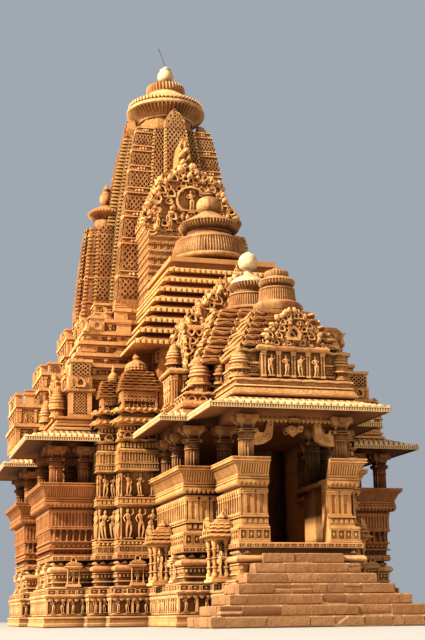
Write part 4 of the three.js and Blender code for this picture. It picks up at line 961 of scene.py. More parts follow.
def turret_dress(x0, x1, y0, y1, z0, height):
    """Lattice round the drum, seven wavy courses, a ribbed cushion and a tip"""
    plan = [(x0, y0), (x1, y0), (x1, y1), (x0, y1)]
    width, drum = min(x1 - x0, y1 - y0), 0.34 * height

    def edge(v, low):
        return (v - 0.01, v + 0.07) if v == low else (v - 0.07, v + 0.01)
    parts = [strip(plan, [(0, z0 + 0.02), (0.07, z0 + 0.05), (0.07, z0 + 0.13), (-0.04, z0 + 0.17)], True, 0.02, 0.3),
             strip(plan, [(out, z0 + z * height) for out, z in ((-0.06, 0.27), (0, 0.28), (0, 0.30), (-0.06, 0.31))],
                   True),
             lined(column(0.45 * drum, 0.03), plan, 0.13, z0 + 0.32 * drum, -0.05, True),
             lined(eyebrow(0.22, 0.16, 0.05), plan, 0.26, z0 + 0.1, -0.02, True)]
    for k in range(7):
        parts.append(wavy(plan, 0.07 - width * 0.24 * (k / 7) ** 1.3, z0 + drum + k * 0.34 * height / 7, 0.055,
                          wave=0.025, phase=0.5 * (k % 2)))
    parts += [slab(*edge(x, x0), *edge(y, y0), z0 + 0.14, z0 + drum) for x, y in plan]
    holes = [s for z in (0.35, 0.5, 0.65) for s in row(plan, 0.13, z0 + z * drum + 0.12, -0.02, True)]
    r, cap = 0.36 * width, z0 + 0.68 * height
    cushion = [(0.8, -0.02), (0.95, 0.01, 1)]
    for k, q in enumerate((1, 0.97, 0.88, 0.72)):
        cushion += [(q, 0.015 + 0.036 * k, 1), (q, 0.035 + 0.036 * k, 1), (q - 0.09, 0.045 + 0.036 * k, 1)]
    cushion += [(0.4, 0.18), (0.26, 0.2), (0.34, 0.225), (0.28, 0.26), (0.02 / r, 0.33)]
    rows = [(q * r, cap + z * height, *share) for q, z, *share in cushion]
    return merge(parts, copies(cell(0.12, 0.15 * drum, 0.04), holes),
                 turned(rows, 40, 20, 0.08, (x0 + x1) / 2, (y0 + y1) / 2))


PORCH_CROSS = [p for p in cross(0.81, 0.6, PORCH_PEAK, 0.43, 0.08) if p[1] < 2.9]
show("roof_courses", UPPER, tier_courses(PORCH_CROSS, 8.04, 9.35, 0.65, 0.65),
     tier_courses(cross(1.3, 1, FOREHALL_AXIS, 0.7, 0.15), 7.98, 10.06, 1, 0.8),
     both(turret_dress(2.73, 3.93, 6.92, 8.08, 6.99, 2.18), turret_dress(3.65, 4.49, 7.62, 8.14, 6.99, 1.75)))
BUDS = [(1.56, 1.01, 0.30, 7.1, 8.05), (2.11, 3.56, 0.35, 6.99, 8.28), (2.58, 5.05, 0.27, 8, 9),
        (5.88, 8.6, 0.25, 6.99, 8.12), (5.88, 11.5, 0.25, 6.99, 8.12), (1.5, 3.42, 0.23, 7, 8.35)]
show("corner_buds", UPPER, both([ringed_bud(*b) for b in BUDS]))


# Porch roof: figures between pilasters, cornice, fretted gable

def cornice(path, z, reach=0.05):
    return strip(path, [(-0.02, z - 0.05), (reach * 0.6, z - 0.02), (reach, z + 0.02), (reach, z + 0.06),
                        (reach * 0.4, z + 0.1), (-0.02, z + 0.13)], False, 0.012, 0.24)


# Half width and height of a gable at its foot, its bends and its top, as shares
GABLE = [(1, 0), (0.82, 0.34), (0.5, 0.68), (0.18, 0.92), (0, 1)]


def gable_fret(half, z0, z1, y, spacing):
    """Fretwork over a curved gable with a medallion in its middle"""
    h = z1 - z0
    return merge(fret([(x * half, z0 + t * h) for x, t in GABLE], y, spacing),
                 placed(eyebrow(0.5 * half, 0.4 * h, 0.13), 0, y - 0.03, z0 + 0.14 * h))


porch_ring = square(1.55, 0.85, PORCH_AXIS)
porch_body = [(-1.85, 2.9), (-1.85, 0.6), (1.85, 0.6), (1.85, 2.9)]
show("porch_roof_carving", UPPER,
     copies(pilaster(0.15, 0.78, 0.07), [[x, 0.72, 7.11, 0] for x in (-0.92, -0.46, 0, 0.46, 0.92)]),
     [copies(POSES[pose], [[x, 0.71, 7.16, 0, 0.62] for x in places])
      for pose, places in ((1, (-0.69, 0.23)), (2, (-0.23, 0.69)))],
     cornice([(-1.08, 1), (-1.08, 0.62), (1.08, 0.62), (1.08, 1)], 7.93),
     bands(porch_ring, [(0, 7.14), (0.08, 7.16), (0.08, 7.22), (0, 7.25)],
           [(0, 7.5), (0.06, 7.52), (0.06, 7.57), (0, 7.6)], closed=True),
     wavy(porch_ring, 0.08, 7.86, 0.1), lined(panel(0.2, 0.2, 0.05), porch_ring, 0.24, 7.27, 0, True),
     strip(porch_body, [(0, 6.52), (0.09, 6.54), (0.10, 6.60), (0.03, 6.64)], wave=0.01, period=0.6),
     bands(porch_body, [(0, 6.66), (0.03, 6.67), (-0.02, 6.74), (-0.02, 6.76)],
           [(-0.06, 6.80), (-0.01, 6.81), (-0.04, 6.86), (-0.06, 6.87)]),
     strip(porch_body, [(-0.06, 6.95), (0, 6.97), (0, 7.01), (-0.04, 7.05)], wave=0.02, period=0.5),
     gable_fret(0.93, 8.06, 9.18, 0.68, 0.17))


# Fore-hall roof: side niches, gables with curled flanks, body courses

niche_path, niche_cornice = bay(2, 2.76, FOREHALL_AXIS, 0.56), bay(2, 2.88, FOREHALL_AXIS, 0.68)
forehall_body = [(-2.7, 6.5), (-2.7, 3.15), (2.7, 3.15), (2.7, 6.5)]
forehall_side = [
    lined(pilaster(0.13, 0.98, 0.06), niche_path, 0.24, 6.84, ends=0.3),
    copies(POSES[1], [[2.77, y, 6.95, QUARTER, 0.7] for y in (4.75, 5.05, 5.35)]),
    cornice(niche_cornice, 7.9),
    to_side(gable_fret(0.64, 8.02, 9.62, 0, 0.16), FOREHALL_AXIS, 2.3)]
for i, z in enumerate(np.arange(8.06, 9.4, 0.24)):
    w = 0.62 * float(np.interp((z - 8.02) / 1.6, [t for _, t in GABLE], [x for x, _ in GABLE]))
    forehall_side += [copies(CURLS[i % 4], [[x, FOREHALL_AXIS + s * w, z, turn, 0.27]
                                            for s, turn in ((-1, 0), (1, math.pi))])
                      for x in (1.62, 1.9, 2.16)]
show("forehall_roof_carving", UPPER, both(forehall_side),
     [strip(forehall_body, profile, wave=0.02, period=0.3) for profile in (
         [(0.02, 6.52), (0.11, 6.55), (0.12, 6.64), (0.02, 6.68)],
         [(-0.04, 6.94), (0.02, 6.96), (0.02, 7), (-0.06, 7.06)])],
     lined(eyebrow(0.3, 0.2, 0.08), forehall_body, 0.36, 6.74, -0.05),
     [strip(forehall_body, profile, wave=0.03, period=0.3) for profile in (
         [(-0.35, 7.2), (-0.2, 7.24), (-0.2, 7.3), (-0.42, 7.36)],
         [(-0.5, 7.45), (-0.34, 7.5), (-0.34, 7.56), (-0.55, 7.62)],
         [(-0.6, 7.7), (-0.44, 7.75), (-0.44, 7.81), (-0.6, 7.87)])])


# Bells and crowns, ribbed and fluted

def bell(y, *stages):
    """Rings stacked on one axis; a stage is the number of ribs, their depth and the rows"""
    return merge([turned(rows, max(48, 3 * ribs), ribs, depth, 0, y) for ribs, depth, rows in stages])


show("porch_bell_carved", BELLS, bell(
    PORCH_PEAK,
    (0, 0, [(0.60, 9.35), (0.68, 9.38), (0.73, 9.50), (0.75, 9.58), (0.75, 9.62), (0.70, 9.67), (0.60, 9.71)]),
    (52, 0.08, [(0.59, 9.70), (0.59, 9.75, 1), (0.57, 9.95, 1), (0.555, 10.10, 1), (0.56, 10.12), (0.56, 10.15),
                (0.45, 10.18)]),
    (36, 0.14, [(0.44, 10.17), (0.44, 10.22), (0.52, 10.26, 1), (0.57, 10.33, 1), (0.57, 10.38, 1), (0.56, 10.40),
                (0.50, 10.47), (0.37, 10.53)]),
    (24, 0.12, [(0.35, 10.52), (0.35, 10.56), (0.38, 10.60, 1), (0.38, 10.71, 1), (0.33, 10.74), (0.15, 10.78),
                (0.13, 10.83), (0.03, 10.87)])), replaces=("porch_bell",))
show("forehall_bell_carved", BELLS, bell(
    FOREHALL_AXIS,
    (0, 0, [(0.78, 10.06), (0.86, 10.08), (0.92, 10.13), (0.93, 10.18), (0.90, 10.23), (0.74, 10.27)]),
    (56, 0.08, [(0.73, 10.26), (0.73, 10.33, 1), (0.70, 10.52, 1), (0.67, 10.68, 1), (0.68, 10.70), (0.67, 10.74),
                (0.54, 10.78)]),
    (40, 0.16, [(0.52, 10.77), (0.52, 10.86), (0.60, 10.92, 1), (0.68, 11.02, 1), (0.68, 11.09, 1), (0.64, 11.12)])),
    replaces=("forehall_bell",))
show("forehall_dome_and_ball", PALE, bell(FOREHALL_AXIS, (0, 0, [
    (0.60, 11.08), (0.64, 11.12), (0.60, 11.20), (0.50, 11.30), (0.36, 11.38), (0.22, 11.44), (0.15, 11.50),
    (0.13, 11.62), (0.22, 11.66), (0.30, 11.75), (0.335, 11.87), (0.335, 11.96), (0.29, 12.08), (0.21, 12.18),
    (0.10, 12.25), (0.02, 12.29)])), slot="pale_stone", angle=80)
show("great_hall_bell_carved", BELLS, bell(
    HALL_AXIS,
    (0, 0, [(1.25, 12.92), (1.32, 12.94), (1.32, 13.02), (1.24, 13.05), (1.26, 13.12), (1.42, 13.16), (1.53, 13.24),
            (1.57, 13.32), (1.55, 13.38), (1.46, 13.43), (1.38, 13.45)]),
    (84, 0.06, [(1.40, 13.45), (1.43, 13.50, 1), (1.42, 13.66, 1), (1.37, 13.88, 1), (1.30, 14.06, 1), (1.29, 14.09),
                (1.28, 14.13), (1.12, 14.22), (0.96, 14.32), (0.86, 14.42)]),
    (60, 0.12, [(0.85, 14.40), (0.86, 14.50), (0.98, 14.54, 1), (1.12, 14.62, 1), (1.17, 14.71, 1), (1.17, 14.77, 1),
                (1.14, 14.80), (1.06, 14.88), (0.90, 14.98)]),
    (32, 0.08, [(0.92, 14.96, 1), (0.80, 15.04, 1), (0.62, 15.14, 1), (0.52, 15.20), (0.40, 15.27), (0.36, 15.33),
                (0.42, 15.40), (0.48, 15.50), (0.49, 15.62), (0.46, 15.76), (0.38, 15.88), (0.26, 15.95),
                (0.23, 15.99), (0.29, 16.03), (0.20, 16.08), (0.14, 16.14), (0.17, 16.18), (0.08, 16.24),
                (0.02, 16.36)])),
    replaces=("great_hall_bell",), angle=50)
blocks = [[1.6 * math.cos(a), SANCTUM_AXIS + 1.6 * math.sin(a), 22.68, a + QUARTER]
          for a in np.arange(60) * math.pi / 30]
show("spire_crown_carved", CROWN, bell(
    SANCTUM_AXIS,
    (0, 0, [(1.20, 21.95), (1.26, 21.98), (1.27, 22.02)]),
    (60, 0.22, [(1.24, 22.02), (1.34, 22.06, 0.6), (1.52, 22.16, 1), (1.67, 22.28, 1), (1.77, 22.40, 0.9),
                (1.77, 22.46, 0.7)]),
    (0, 0, [(1.70, 22.42), (1.77, 22.46), (1.78, 22.52), (1.76, 22.58), (1.70, 22.63), (1.62, 22.66), (1.58, 22.68),
            (1.50, 22.90), (1.46, 22.93), (1.36, 23.02), (1.18, 23.14), (0.98, 23.26), (0.86, 23.36), (0.82, 23.42),
            (0.76, 23.46)]),
    (36, 0.2, [(0.74, 23.44), (0.80, 23.46), (0.86, 23.50, 1), (0.89, 23.60, 1), (0.88, 23.74, 1), (0.84, 23.82, 1),
               (0.78, 23.86), (0.56, 23.92), (0.30, 23.97), (0.22, 24), (0.2, 24.03)])),
    copies(slab(-0.05, 0.05, -0.1, 0.08, 0, 0.17), blocks), replaces=("spire_crown",), angle=50)
show("spire_ball", PALE, bell(SANCTUM_AXIS, (0, 0, [
    (0.16, 23.98), (0.2, 24.03), (0.27, 24.1), (0.34, 24.2), (0.375, 24.34), (0.37, 24.46), (0.32, 24.58),
    (0.24, 24.68), (0.27, 24.73), (0.17, 24.79), (0.10, 24.86), (0.04, 24.91)])), slot="pale_stone", angle=80)


# Great hall roof: rounded tile ends on eight tiers, a stepped gable, windows

section = [(0.07, 0), (0.05, 0.115), (-0.05, 0.115), (-0.07, 0)]
tile_end = rings([[(x * s, y, z * s + 0.015 + lift) for x, z in section]
                  for y, lift, s in ((0.24, 0.115, 0.8), (0, 0, 1), (-0.05, -0.02, 0.8))], wrap=False, caps=1)
tile_spots, beads = [], []
for k in range(8):
    half, z = 3.6 - 0.22 * k, 9.28 + 0.435 * k
    tile_spots += row(square(half, half, HALL_AXIS), 0.2, z, 0, True)
    beads += row(square(half - 0.3, half - 0.3, HALL_AXIS), 0.2, z - 0.13, 0, True) if k else []
show("hall_tile_ends", TILES, copies(tile_end, tile_spots))
show("hall_tier_blocks", TIERS, copies(stud(0.05, 0.05, 0.12, 0.02), beads))

HALL_STEPS = [(2.15, 9.29), (2.12, 9.65), (1.95, 9.78), (1.9, 10.0), (1.62, 10.13), (1.55, 10.35), (1.32, 10.48),
              (1.25, 10.7), (0.95, 10.88), (0.88, 11.07), (0.56, 11.2), (0.45, 11.36), (0.25, 11.48)]
gable_parts = [fret(HALL_STEPS + [(0, 11.7)], 6.38, 0.26), placed(eyebrow(1.3, 1.2, 0.16), 0, 6.36, 9.75),
               placed(shrine(0.7, 1, 0.16, 3), 0, 6.33, 9.85), placed(POSES[0], 0, 6.42, 11.6, 0, 0.6)]
for (low_x, _), (x, z) in zip(HALL_STEPS[:-1], HALL_STEPS[1:]):
    for s in (-1, 1) if low_x - x > 0.1 else ():
        gable_parts += [placed(POSES[int(RNG.integers(4))], s * (x + 0.12), 6.55, z - 0.02, 0, 0.42),
                        copies(eyebrow(0.3, 0.3, 0.1), [[s * (x + 0.1), y, z - 0.06, s * QUARTER]
                                                        for y in (6.7, 7.1, 7.5)])]
show("hall_gable_carving", UPPER, gable_parts)
window = [[2.66, 7.22 + x, z, QUARTER, *scales] for x, _, z, _, *scales in lattice(0.66, 8.7, 9.24, 5, 0.09)]
show("hall_side_windows", TILES, both(copies(GEM, window)))


# Stepped blocks over the balconies: niches on every face, small boxes on their slabs

BOX = [block(-0.44, 0.44, -0.43, 0.1, 0, 0.78, 6), block(-0.54, 0.54, -0.5, 0.12, 0.78, 0.88, 6),
       block(-0.42, 0.42, -0.4, 0.1, 0.88, 1, 6)]
BOXES = [merge(BOX, *more) for more in (
    [], [block(-0.36, 0.36, -0.33, 0.1, 1, 1.12, 6), block(-0.44, 0.44, -0.38, 0.1, 1.12, 1.2, 6)],
    [placed(POSES[1], 0, -0.41, 0.08, 0, 0.66), block(-0.43, -0.28, -0.5, -0.4, 0, 0.77),
     block(0.28, 0.43, -0.5, -0.4, 0, 0.77)],
    [copies(GEM, lattice(0.7, 0.02, 0.78, 3, 0.14, -0.43))], [placed(eyebrow(0.6, 0.6, 0.08), 0, -0.43, 0.08)])]


def bays(path, z, h, step=0.56):
    """Bays of pilasters with lattice, figures or sunk panels between them"""
    parts = [lined(stud(0.05, 0.07, h), path, step, z, ends=0.1),
             lined(stud(0.07, 0.09, 0.1), path, step, z + h - 0.08, ends=0.1)]
    latticed, peopled, sunk = groups = [], [], []
    for spot in row(path, step, z):
        groups[int(RNG.choice(3, p=[0.4, 0.3, 0.3]))].append(spot)
    for x, y, z0, t in latticed:
        spots = [[x + k * math.cos(t), y + k * math.sin(t), z0 + (0.12 + 0.26 * i) * h, t]
                 for k in (-0.07, 0.07) for i in range(3)]
        parts.append(copies(cell(0.14, 0.26 * h, 0.05), spots))
    if peopled:
        parts.append(copies(POSES[int(RNG.integers(4))], [[*s, 0.8 * h] for s in peopled]))
    if sunk:
        parts.append(copies(panel(0.3, 0.7 * h, 0.06), [[x, y, z0 + 0.1 * h, t] for x, y, z0, t in sunk]))
    return parts


def ledge(path, z, out=0.1, thick=0.09):
    """A flat slab with a small step under it"""
    return strip(path, [(-0.02, z - 0.09), (0.5 * out, z - 0.07), (0.5 * out, z - 0.01), (out, z), (out, z + thick),
                        (-0.05, z + thick + 0.02)])


def cascade_dress(axis, wall, foot, courses, inside):
    """Dress of the blocks over a balcony; a course is the height of its top, its reach and its half width"""
    edge = bay(wall, foot, axis, 1.75)
    parts = [*bands(edge, [(-0.02, 6.50), (0.14, 6.53), (0.14, 6.60), (0, 6.66)],
                    [(-0.1, 6.76), (0.03, 6.79), (0.03, 6.86), (-0.1, 6.9)]),
             wavy(edge, 0.03, 6.93, 0.07, False, 0.02)]
    below = 7
    for i, (top, reach, half) in enumerate(courses):
        path = bay(inside, reach, axis, half)
        parts += [strip(path, [(-0.02, below), (0.05, below + 0.01), (0.05, below + 0.06), (-0.02, below + 0.08)]),
                  ledge(path, top - 0.13, 0.125 if i % 2 else 0.15, 0.12),
                  *bays(path, below + 0.08, top - below - 0.28),
                  lined(stud(0.025, 0.03, 0.05), path, 0.085, top - 0.21, 0.03)]
        behind = courses[i + 1][1] if i + 1 < len(courses) else reach - 0.3
        deep = min(0.5, max(0.24, reach - behind))
        parts += dealt(BOXES, row(path, 0.95, top - 0.02, deep * 0.2 - 0.2, ends=0.3),
                       lambda: (RNG.uniform(0.44, 0.62), deep, RNG.uniform(0.38, 0.62)))
        below = top - 0.01
    return parts


HALL_COURSES = [(7.93, 5.68, 1.25), (8.55, 5.5, 1.15), (9, 5.29, 1.15), (9.4, 5.14, 1.1), (9.85, 4.98, 1),
                (10.25, 4.84, 0.9), (10.7, 4.05, 0.9), (11.15, 3.68, 0.85)]
SANCTUM_COURSES = [(7.9, 6.48, 1.55), (8.7, 6.44, 1.48), (9.4, 5.5, 1.48), (10.07, 5.44, 1.42), (10.85, 4.5, 1.42),
                   (11.62, 4.44, 1.35), (12.35, 3.92, 1.2)]
hall_side = cascade_dress(HALL_AXIS, 4.55, 5.92, HALL_COURSES, 3.2)
sanctum_side = merge(cascade_dress(SANCTUM_AXIS, 5.1, 6.3, SANCTUM_COURSES, 2.6))
hall_side.append(to_side(gable_fret(0.7, 7.93, 8.78, 0, 0.15), HALL_AXIS, 5.8))
attic = merge(
    block(-0.42, 0.42, -0.05, 0.3, 7, 7.1), [block(x - 0.085, x + 0.085, -0.06, 0, 7.1, 7.84) for x in (-0.32, 0.32)],
    copies(GEM, lattice(0.46, 7.1, 7.86, 4, 0.055)),
    strip([(-0.44, 0.4), (-0.44, 0), (0.44, 0), (0.44, 0.4)],
          [(-0.02, 7.84), (0.05, 7.86), (0.05, 7.89), (0.09, 7.9), (0.09, 7.98), (0.04, 8), (-0.02, 8.04)]),
    copies(stud(0.025, 0.035, 0.08), [[x, -0.08, 7.9, 0] for x in np.arange(-0.42, 0.43, 0.085)]),
    block(-0.41, 0.41, -0.05, 0.46, 8, 8.42, 6), block(-0.36, 0.36, -0.03, 0.44, 8.42, 8.92, 6),
    block(-0.42, 0.42, -0.07, 0.48, 8.92, 9.02, 6), placed(eyebrow(0.34, 0.36, 0.1), 0, -0.05, 8.03),
    copies(POSES[0], [[x, -0.04, 8.04, 0, 0.34] for x in (-0.29, 0.29)]),
    copies(GEM, lattice(0.66, 8.42, 8.92, 4, 0.07, -0.03)),
    copies(CURLS[2], [[x, -0.05, 8.03, 0, 0.14] for x in (-0.18, 0.18)]))
hall_side += [placed(attic, 5.14, y, 0, turn) for y, turn in ((8.33, 0), (11.77, math.pi))]
hall_side.append(tube([(4.85, 9, 10.2), (4.8, 8.96, 10.38), (4.86, 8.92, 10.52), (4.98, 8.9, 10.6)],
                      (0.12, 0.09, 0.05, 0.01)))
show("hall_side_carving", UPPER, both(hall_side))
show("sanctum_side_carving", UPPER, both(sanctum_side))
show("sanctum_rear_carving", UPPER, quarters(sanctum_side, (1,)))

MASS_RING = mirrored([(4.04, 13.4), (4.04, 14.16), (4.71, 14.16), (4.71, 20.6), (4.1, 20.6), (4.1, 21.5), (3.2, 21.5),
                      (3.2, 22.11)])
mass = []
for z0, z1, out in ((7, 8, 0), (8, 9.1, -0.24), (9.1, 10.1, -0.54), (10.1, 11.1, -0.82), (11.1, 12.1, -1.1),
                    (12.1, 13, -1.3)):
    inner = offset(MASS_RING, out, True)[1:-1]
    mass += [ledge(inner, z0 + 0.42, 0.08, 0.06), ledge(inner, z1 - 0.12), *bays(inner, z0 + 0.03, 0.32, 0.6),
             *bays(inner, z0 + 0.52, z1 - z0 - 0.75, 0.52)]
show("sanctum_mass_carving", UPPER, mass)


# Spire: lattice on plates and bands, storeys of mouldings and ribbed discs at the corners

# Height, half width of the corners and how far the middle plate stands out past them
TOWER = np.array([[13.0, 2.62, 0.52], [14.3, 2.52, 0.51], [15.6, 2.41, 0.49], [17.0, 2.26, 0.46], [18.2, 2.11, 0.42],
                  [19.2, 1.965, 0.39], [20.0, 1.85, 0.35], [20.7, 1.72, 0.32], [21.15, 1.59, 0.34]]).T
TOWER_FOOT, TOWER_TOP, RISE = 13.05, 21.1, 0.145


def tower(z):
    """Half width of the corners, the plate and the bands, then the reach of the bands and the plate"""
    half, reach = (np.interp(z, TOWER[0], column) for column in TOWER[1:])
    return half, 0.26 * half + 0.03, 0.54 * half, half + 0.25 * reach, half + reach


def on_plate(z):
    _, plate, _, _, outer = tower(z)
    return -plate, plate, outer - 0.03


def on_band(z, side=1):
    _, plate, slot, inner, _ = tower(z)
    return *sorted((side * plate, side * slot)), inner - 0.03


def on_corner(z):
    half, _, slot, _, _ = tower(z)
    return slot + 0.03, half - 0.03, half - 0.03


def lozenge_rows(z0, z1, across, place):
    """Staggered lozenges; place gives their left and right edge and their reach at a height"""
    spots = []
    for i, z in enumerate(np.arange(z0 + RISE, z1 - 0.5 * RISE, RISE)):
        a, b, reach = place(z)
        w, n = (b - a) / across, across - i % 2
        spots += [[(a + b) / 2 + (k - (n - 1) / 2) * w, -reach, z, 0, w, 1, 2 * RISE] for k in range(n)]
    return spots


def facing(spots, turn=0):
    """Spots in a plane that faces -Y at the tower's axis, turned about it"""
    c, n = math.cos(turn), math.sin(turn)
    return [[x * c - y * n, SANCTUM_AXIS + x * n + y * c, z, turn, *more] for x, y, z, _, *more in spots]


plate_spots = facing(lozenge_rows(16.8, TOWER_TOP, 5, on_plate))
band_spots = facing(lozenge_rows(TOWER_FOOT, TOWER_TOP, 3, on_band)
                    + lozenge_rows(TOWER_FOOT, TOWER_TOP, 3, lambda z: on_band(z, -1)))
for i, z in enumerate(np.arange(TOWER_TOP, 22, RISE)):
    half = np.interp(z + 0.1, [21.13, 21.5, 21.9, 22.1], [0.44, 0.42, 0.2, 0.04])
    outer = np.interp(z, [21.13, 21.5, 21.9, 22.1], [1.925, 1.88, 1.79, 1.66])
    n = max(1, round(2 * half / 0.2) - i % 2)
    plate_spots += [[(k - (n - 1) / 2) * 0.2, SANCTUM_AXIS - outer + 0.03, z, 0, 0.2, 1, 2 * RISE] for k in range(n)]
storeys = [13.03, 14.26, 15.74, 16.98, 18.11, 19.17, 20.15, 21.1]
corner, rungs = [], []
for za, zb in zip(storeys[:-1], storeys[1:]):
    for z in (zb - 0.29, zb - 0.04):
        half, _, slot, _, _ = tower(z)
        path = [(slot + 0.02, SANCTUM_AXIS - half), (half, SANCTUM_AXIS - half), (half, SANCTUM_AXIS - slot - 0.02)]
        corner.append(strip(path, [(-0.02, z), (0.045, z + 0.01), (0.06, z + 0.035), (0.045, z + 0.065),
                                   (-0.02, z + 0.08)]))
    half, _, slot, _, _ = tower(zb - 0.12)
    mid, r = (half + slot) / 2, (half - slot) / 2
    corner.append(turned([(r, zb - 0.21), (1.14 * r, zb - 0.19, 1), (1.19 * r, zb - 0.125, 1),
                          (1.14 * r, zb - 0.06, 1), (r, zb - 0.04)], 72, 24, 0.16, mid, SANCTUM_AXIS - mid))
    spots = lozenge_rows(za + 0.04, zb - 0.3, 5, on_corner)
    corner.append(copies(GEM, facing(spots) + facing([[-x, *more] for x, *more in spots], QUARTER)))
for z in np.arange(13.1, 21, 0.17):
    half, plate, slot, inner, outer = tower(z)
    for s in (-1, 1):
        for edge, front, back in ((plate, outer, inner), (slot, inner, half)):
            a, b = sorted((s * (edge - 0.05), s * (edge + 0.035)))
            rungs.append(block(a, b, SANCTUM_AXIS - front - 0.02, SANCTUM_AXIS - back, z, z + 0.085))
show("spire_fretwork", UPPER, quarters(copies(GEM, plate_spots + band_spots)))
show("spire_rungs", TILES, quarters(merge(rungs)))
show("spire_storeys", UPPER, quarters(merge(corner)))


# Half spires: lattice, bands round their corners, a fluted crown

HALF_CORNER = [(-1, -1), (0.45, -1), (0.45, -0.85), (0.85, -0.85), (0.85, -0.45), (1, -0.45)]
HALF_FOOT, HALF_TOP = 12.5, 16.65


def half_plan(z):
    h = np.interp(z, [12.3, 13.0, 13.6, 14.9, 16.1, 16.75], [1.15, 1.15, 1.08, 0.95, 0.82, 0.72])
    return np.array([(2.85 + h * x, SANCTUM_AXIS + h * y) for x, y in HALF_CORNER
                     + [(x, -y) for x, y in HALF_CORNER[::-1]]])


half_parts = []
for i, z in enumerate(np.arange(HALF_FOOT, HALF_TOP, 0.13)):
    spots = row(half_plan(z), 0.2, z + 0.13, -0.03, where=lambda turn, length: length > 0.5, less=i % 2,
                ends=(i % 2 + 1) / 2)
    half_parts.append(copies(GEM, [[*s, 0.2, 1, 0.26] for s in spots]))
for z in np.arange(HALF_FOOT, HALF_TOP, 0.17):
    path = half_plan(z)
    for before, at, after in zip(path[:-2], path[1:-1], path[2:]):
        a, b = (at + (q - at) * min(1, 0.1 / np.linalg.norm(q - at)) for q in (before, after))
        half_parts.append(strip([a, at, b], [(-0.01, z), (0.03, z + 0.01), (0.03, z + 0.075), (-0.01, z + 0.085)]))
for z in (13.2, 14.3, 15.4, 16.3):
    half_parts.append(strip(half_plan(z), [(-0.05, z), (0.035, z + 0.02), (0.045, z + 0.05), (0.035, z + 0.08),
                                           (-0.05, z + 0.1)]))
half_parts.append(turned([
    (0.50, 16.7), (0.56, 16.74), (0.56, 16.82), (0.48, 16.86), (0.48, 17.18), (0.52, 17.22, 1), (0.66, 17.32, 1),
    (0.77, 17.42, 1), (0.80, 17.48, 0.7), (0.80, 17.54, 0.7), (0.72, 17.6, 0.5), (0.58, 17.70), (0.42, 17.78),
    (0.3, 17.86), (0.17, 17.92), (0.24, 18.02), (0.285, 18.14), (0.28, 18.36), (0.2, 18.48), (0.12, 18.58),
    (0.18, 18.66), (0.1, 18.74), (0.02, 18.92)], 108, 36, 0.3, 2.7, SANCTUM_AXIS))
half_spire = merge(half_parts)
show("half_spire_carving", UPPER, both(half_spire), quarters(half_spire, (1,)))


# Front of the spire: fretted pediment, medallion, a slender figure on top

PEDIMENT = [(1.8, 15.44), (1.85, 15.9), (1.72, 16.35), (1.54, 16.85), (1.4, 17.2), (1.25, 17.55), (0.9, 17.8),
            (0.6, 17.98), (0, 18.25)]


def pediment_half(z):
    return float(np.interp(z, [p[1] for p in PEDIMENT], [p[0] for p in PEDIMENT]))


def open_field(x, z):
    """The smooth ground between the rim, the medallion and the feet of the pediment"""
    ring = math.hypot(x / 0.95, (z - 16.75) / 0.95)
    foot = z < 16.1 and (abs(abs(x) - 1.35) < 0.4 or abs(x) < 0.45)
    return 0.55 < pediment_half(z) - abs(x) and z < 17.6 and not 0.55 < ring < 1 and not foot


arc = [(0.66 * math.sin(a), 0.62 - 0.62 * math.cos(a)) for a in np.radians(np.arange(40, 321, 28))]
beading = [[0.6 * math.sin(a), 12.97, 16.74 - 0.6 * math.cos(a), 0] for a in np.arange(24) * math.pi / 12]
front_parts = [
    fret(PEDIMENT, 12.96, 0.3, open_field),
    placed(relief(arc, [(1, 0), (1, -0.2), (0.86, -0.22), (0.8, -0.05)]), 0, 12.97, 16.2),
    copies(lump(0.17, 0.17, 0.16), beading), placed(POSES[2], 0, 12.9, 16.32, 0, 0.95),
    *(copies(CURLS[k], [[s * x, 12.93, z, 0, 0.34] for x, z in ((0.62, 16.1), (0.8, 16.75), (0.35, 17.3))])
      for k, s in ((0, -1), (3, 1))),
    copies(POSES[0], [[x, 12.9, 15.5, 0, 0.8] for x in (-1.4, -0.9, 0.9, 1.4)]),
    copies(POSES[3], [[0, 13.98, 17.95, 0, 1.1, 1.4, 1.85]]),
    copies(lump(0.26, 0.26, 0.3), [[0.15 * math.sin(2.4 * k), 13.9, 17.9 + 0.17 * k, 0] for k in range(9)])]
body = [(-1.75, 15.2), (-1.75, 12.9), (1.75, 12.9), (1.75, 15.2)]
for z in np.arange(9.6, 15.3, 0.62):
    front_parts += [cornice(body, z, 0.06), wavy(body, 0.03, z + 0.3, 0.06, False, 0.02, 0.28),
                    lined(pilaster(0.14, 0.3, 0.04), body, 0.26, z + 0.12)]
flanks = []
for z in np.arange(15.55, 18, 0.34):
    run = [(pediment_half(z), 13), (pediment_half(z), 15.3)]
    flanks += [strip(run, [(-0.1, z), (0.05, z + 0.02), (0.05, z + 0.09), (-0.1, z + 0.12)]),
               lined(eyebrow(0.3, 0.22, 0.1), run, 0.38, z + 0.11, -0.05)]
for z in np.arange(18.1, 18.8, 0.2):
    flanks.append(strip([(0.3, 13.95), (0.3, 15.2)], [(-0.1, z), (0.03, z + 0.02), (0.03, z + 0.08),
                                                      (-0.1, z + 0.1)]))
for z in np.arange(18.9, 19.8, 0.16):
    x = float(np.interp(z, (17.9, 20), (0.31, 0.07)))
    flanks.append(strip([(x, 13.93), (x, 15.2)], [(-0.05, z), (0.02, z + 0.015), (0.02, z + 0.06),
                                                  (-0.05, z + 0.08)]))
show("spire_front_carving", UPPER, front_parts, both(flanks))


# Entrance: curled brackets with scroll ends, petals on the band

def scroll(side, x, z, radius, thick, turns, start):
    """A tendril that winds in to its middle"""
    a = np.linspace(0, turns * 2 * math.pi, int(turns * 14))
    r = np.linspace(radius, 0.03, len(a))
    return tube(np.stack([side * (x + r * np.cos(start + a)), 0 * a, z + r * np.sin(start + a)], -1), thick)


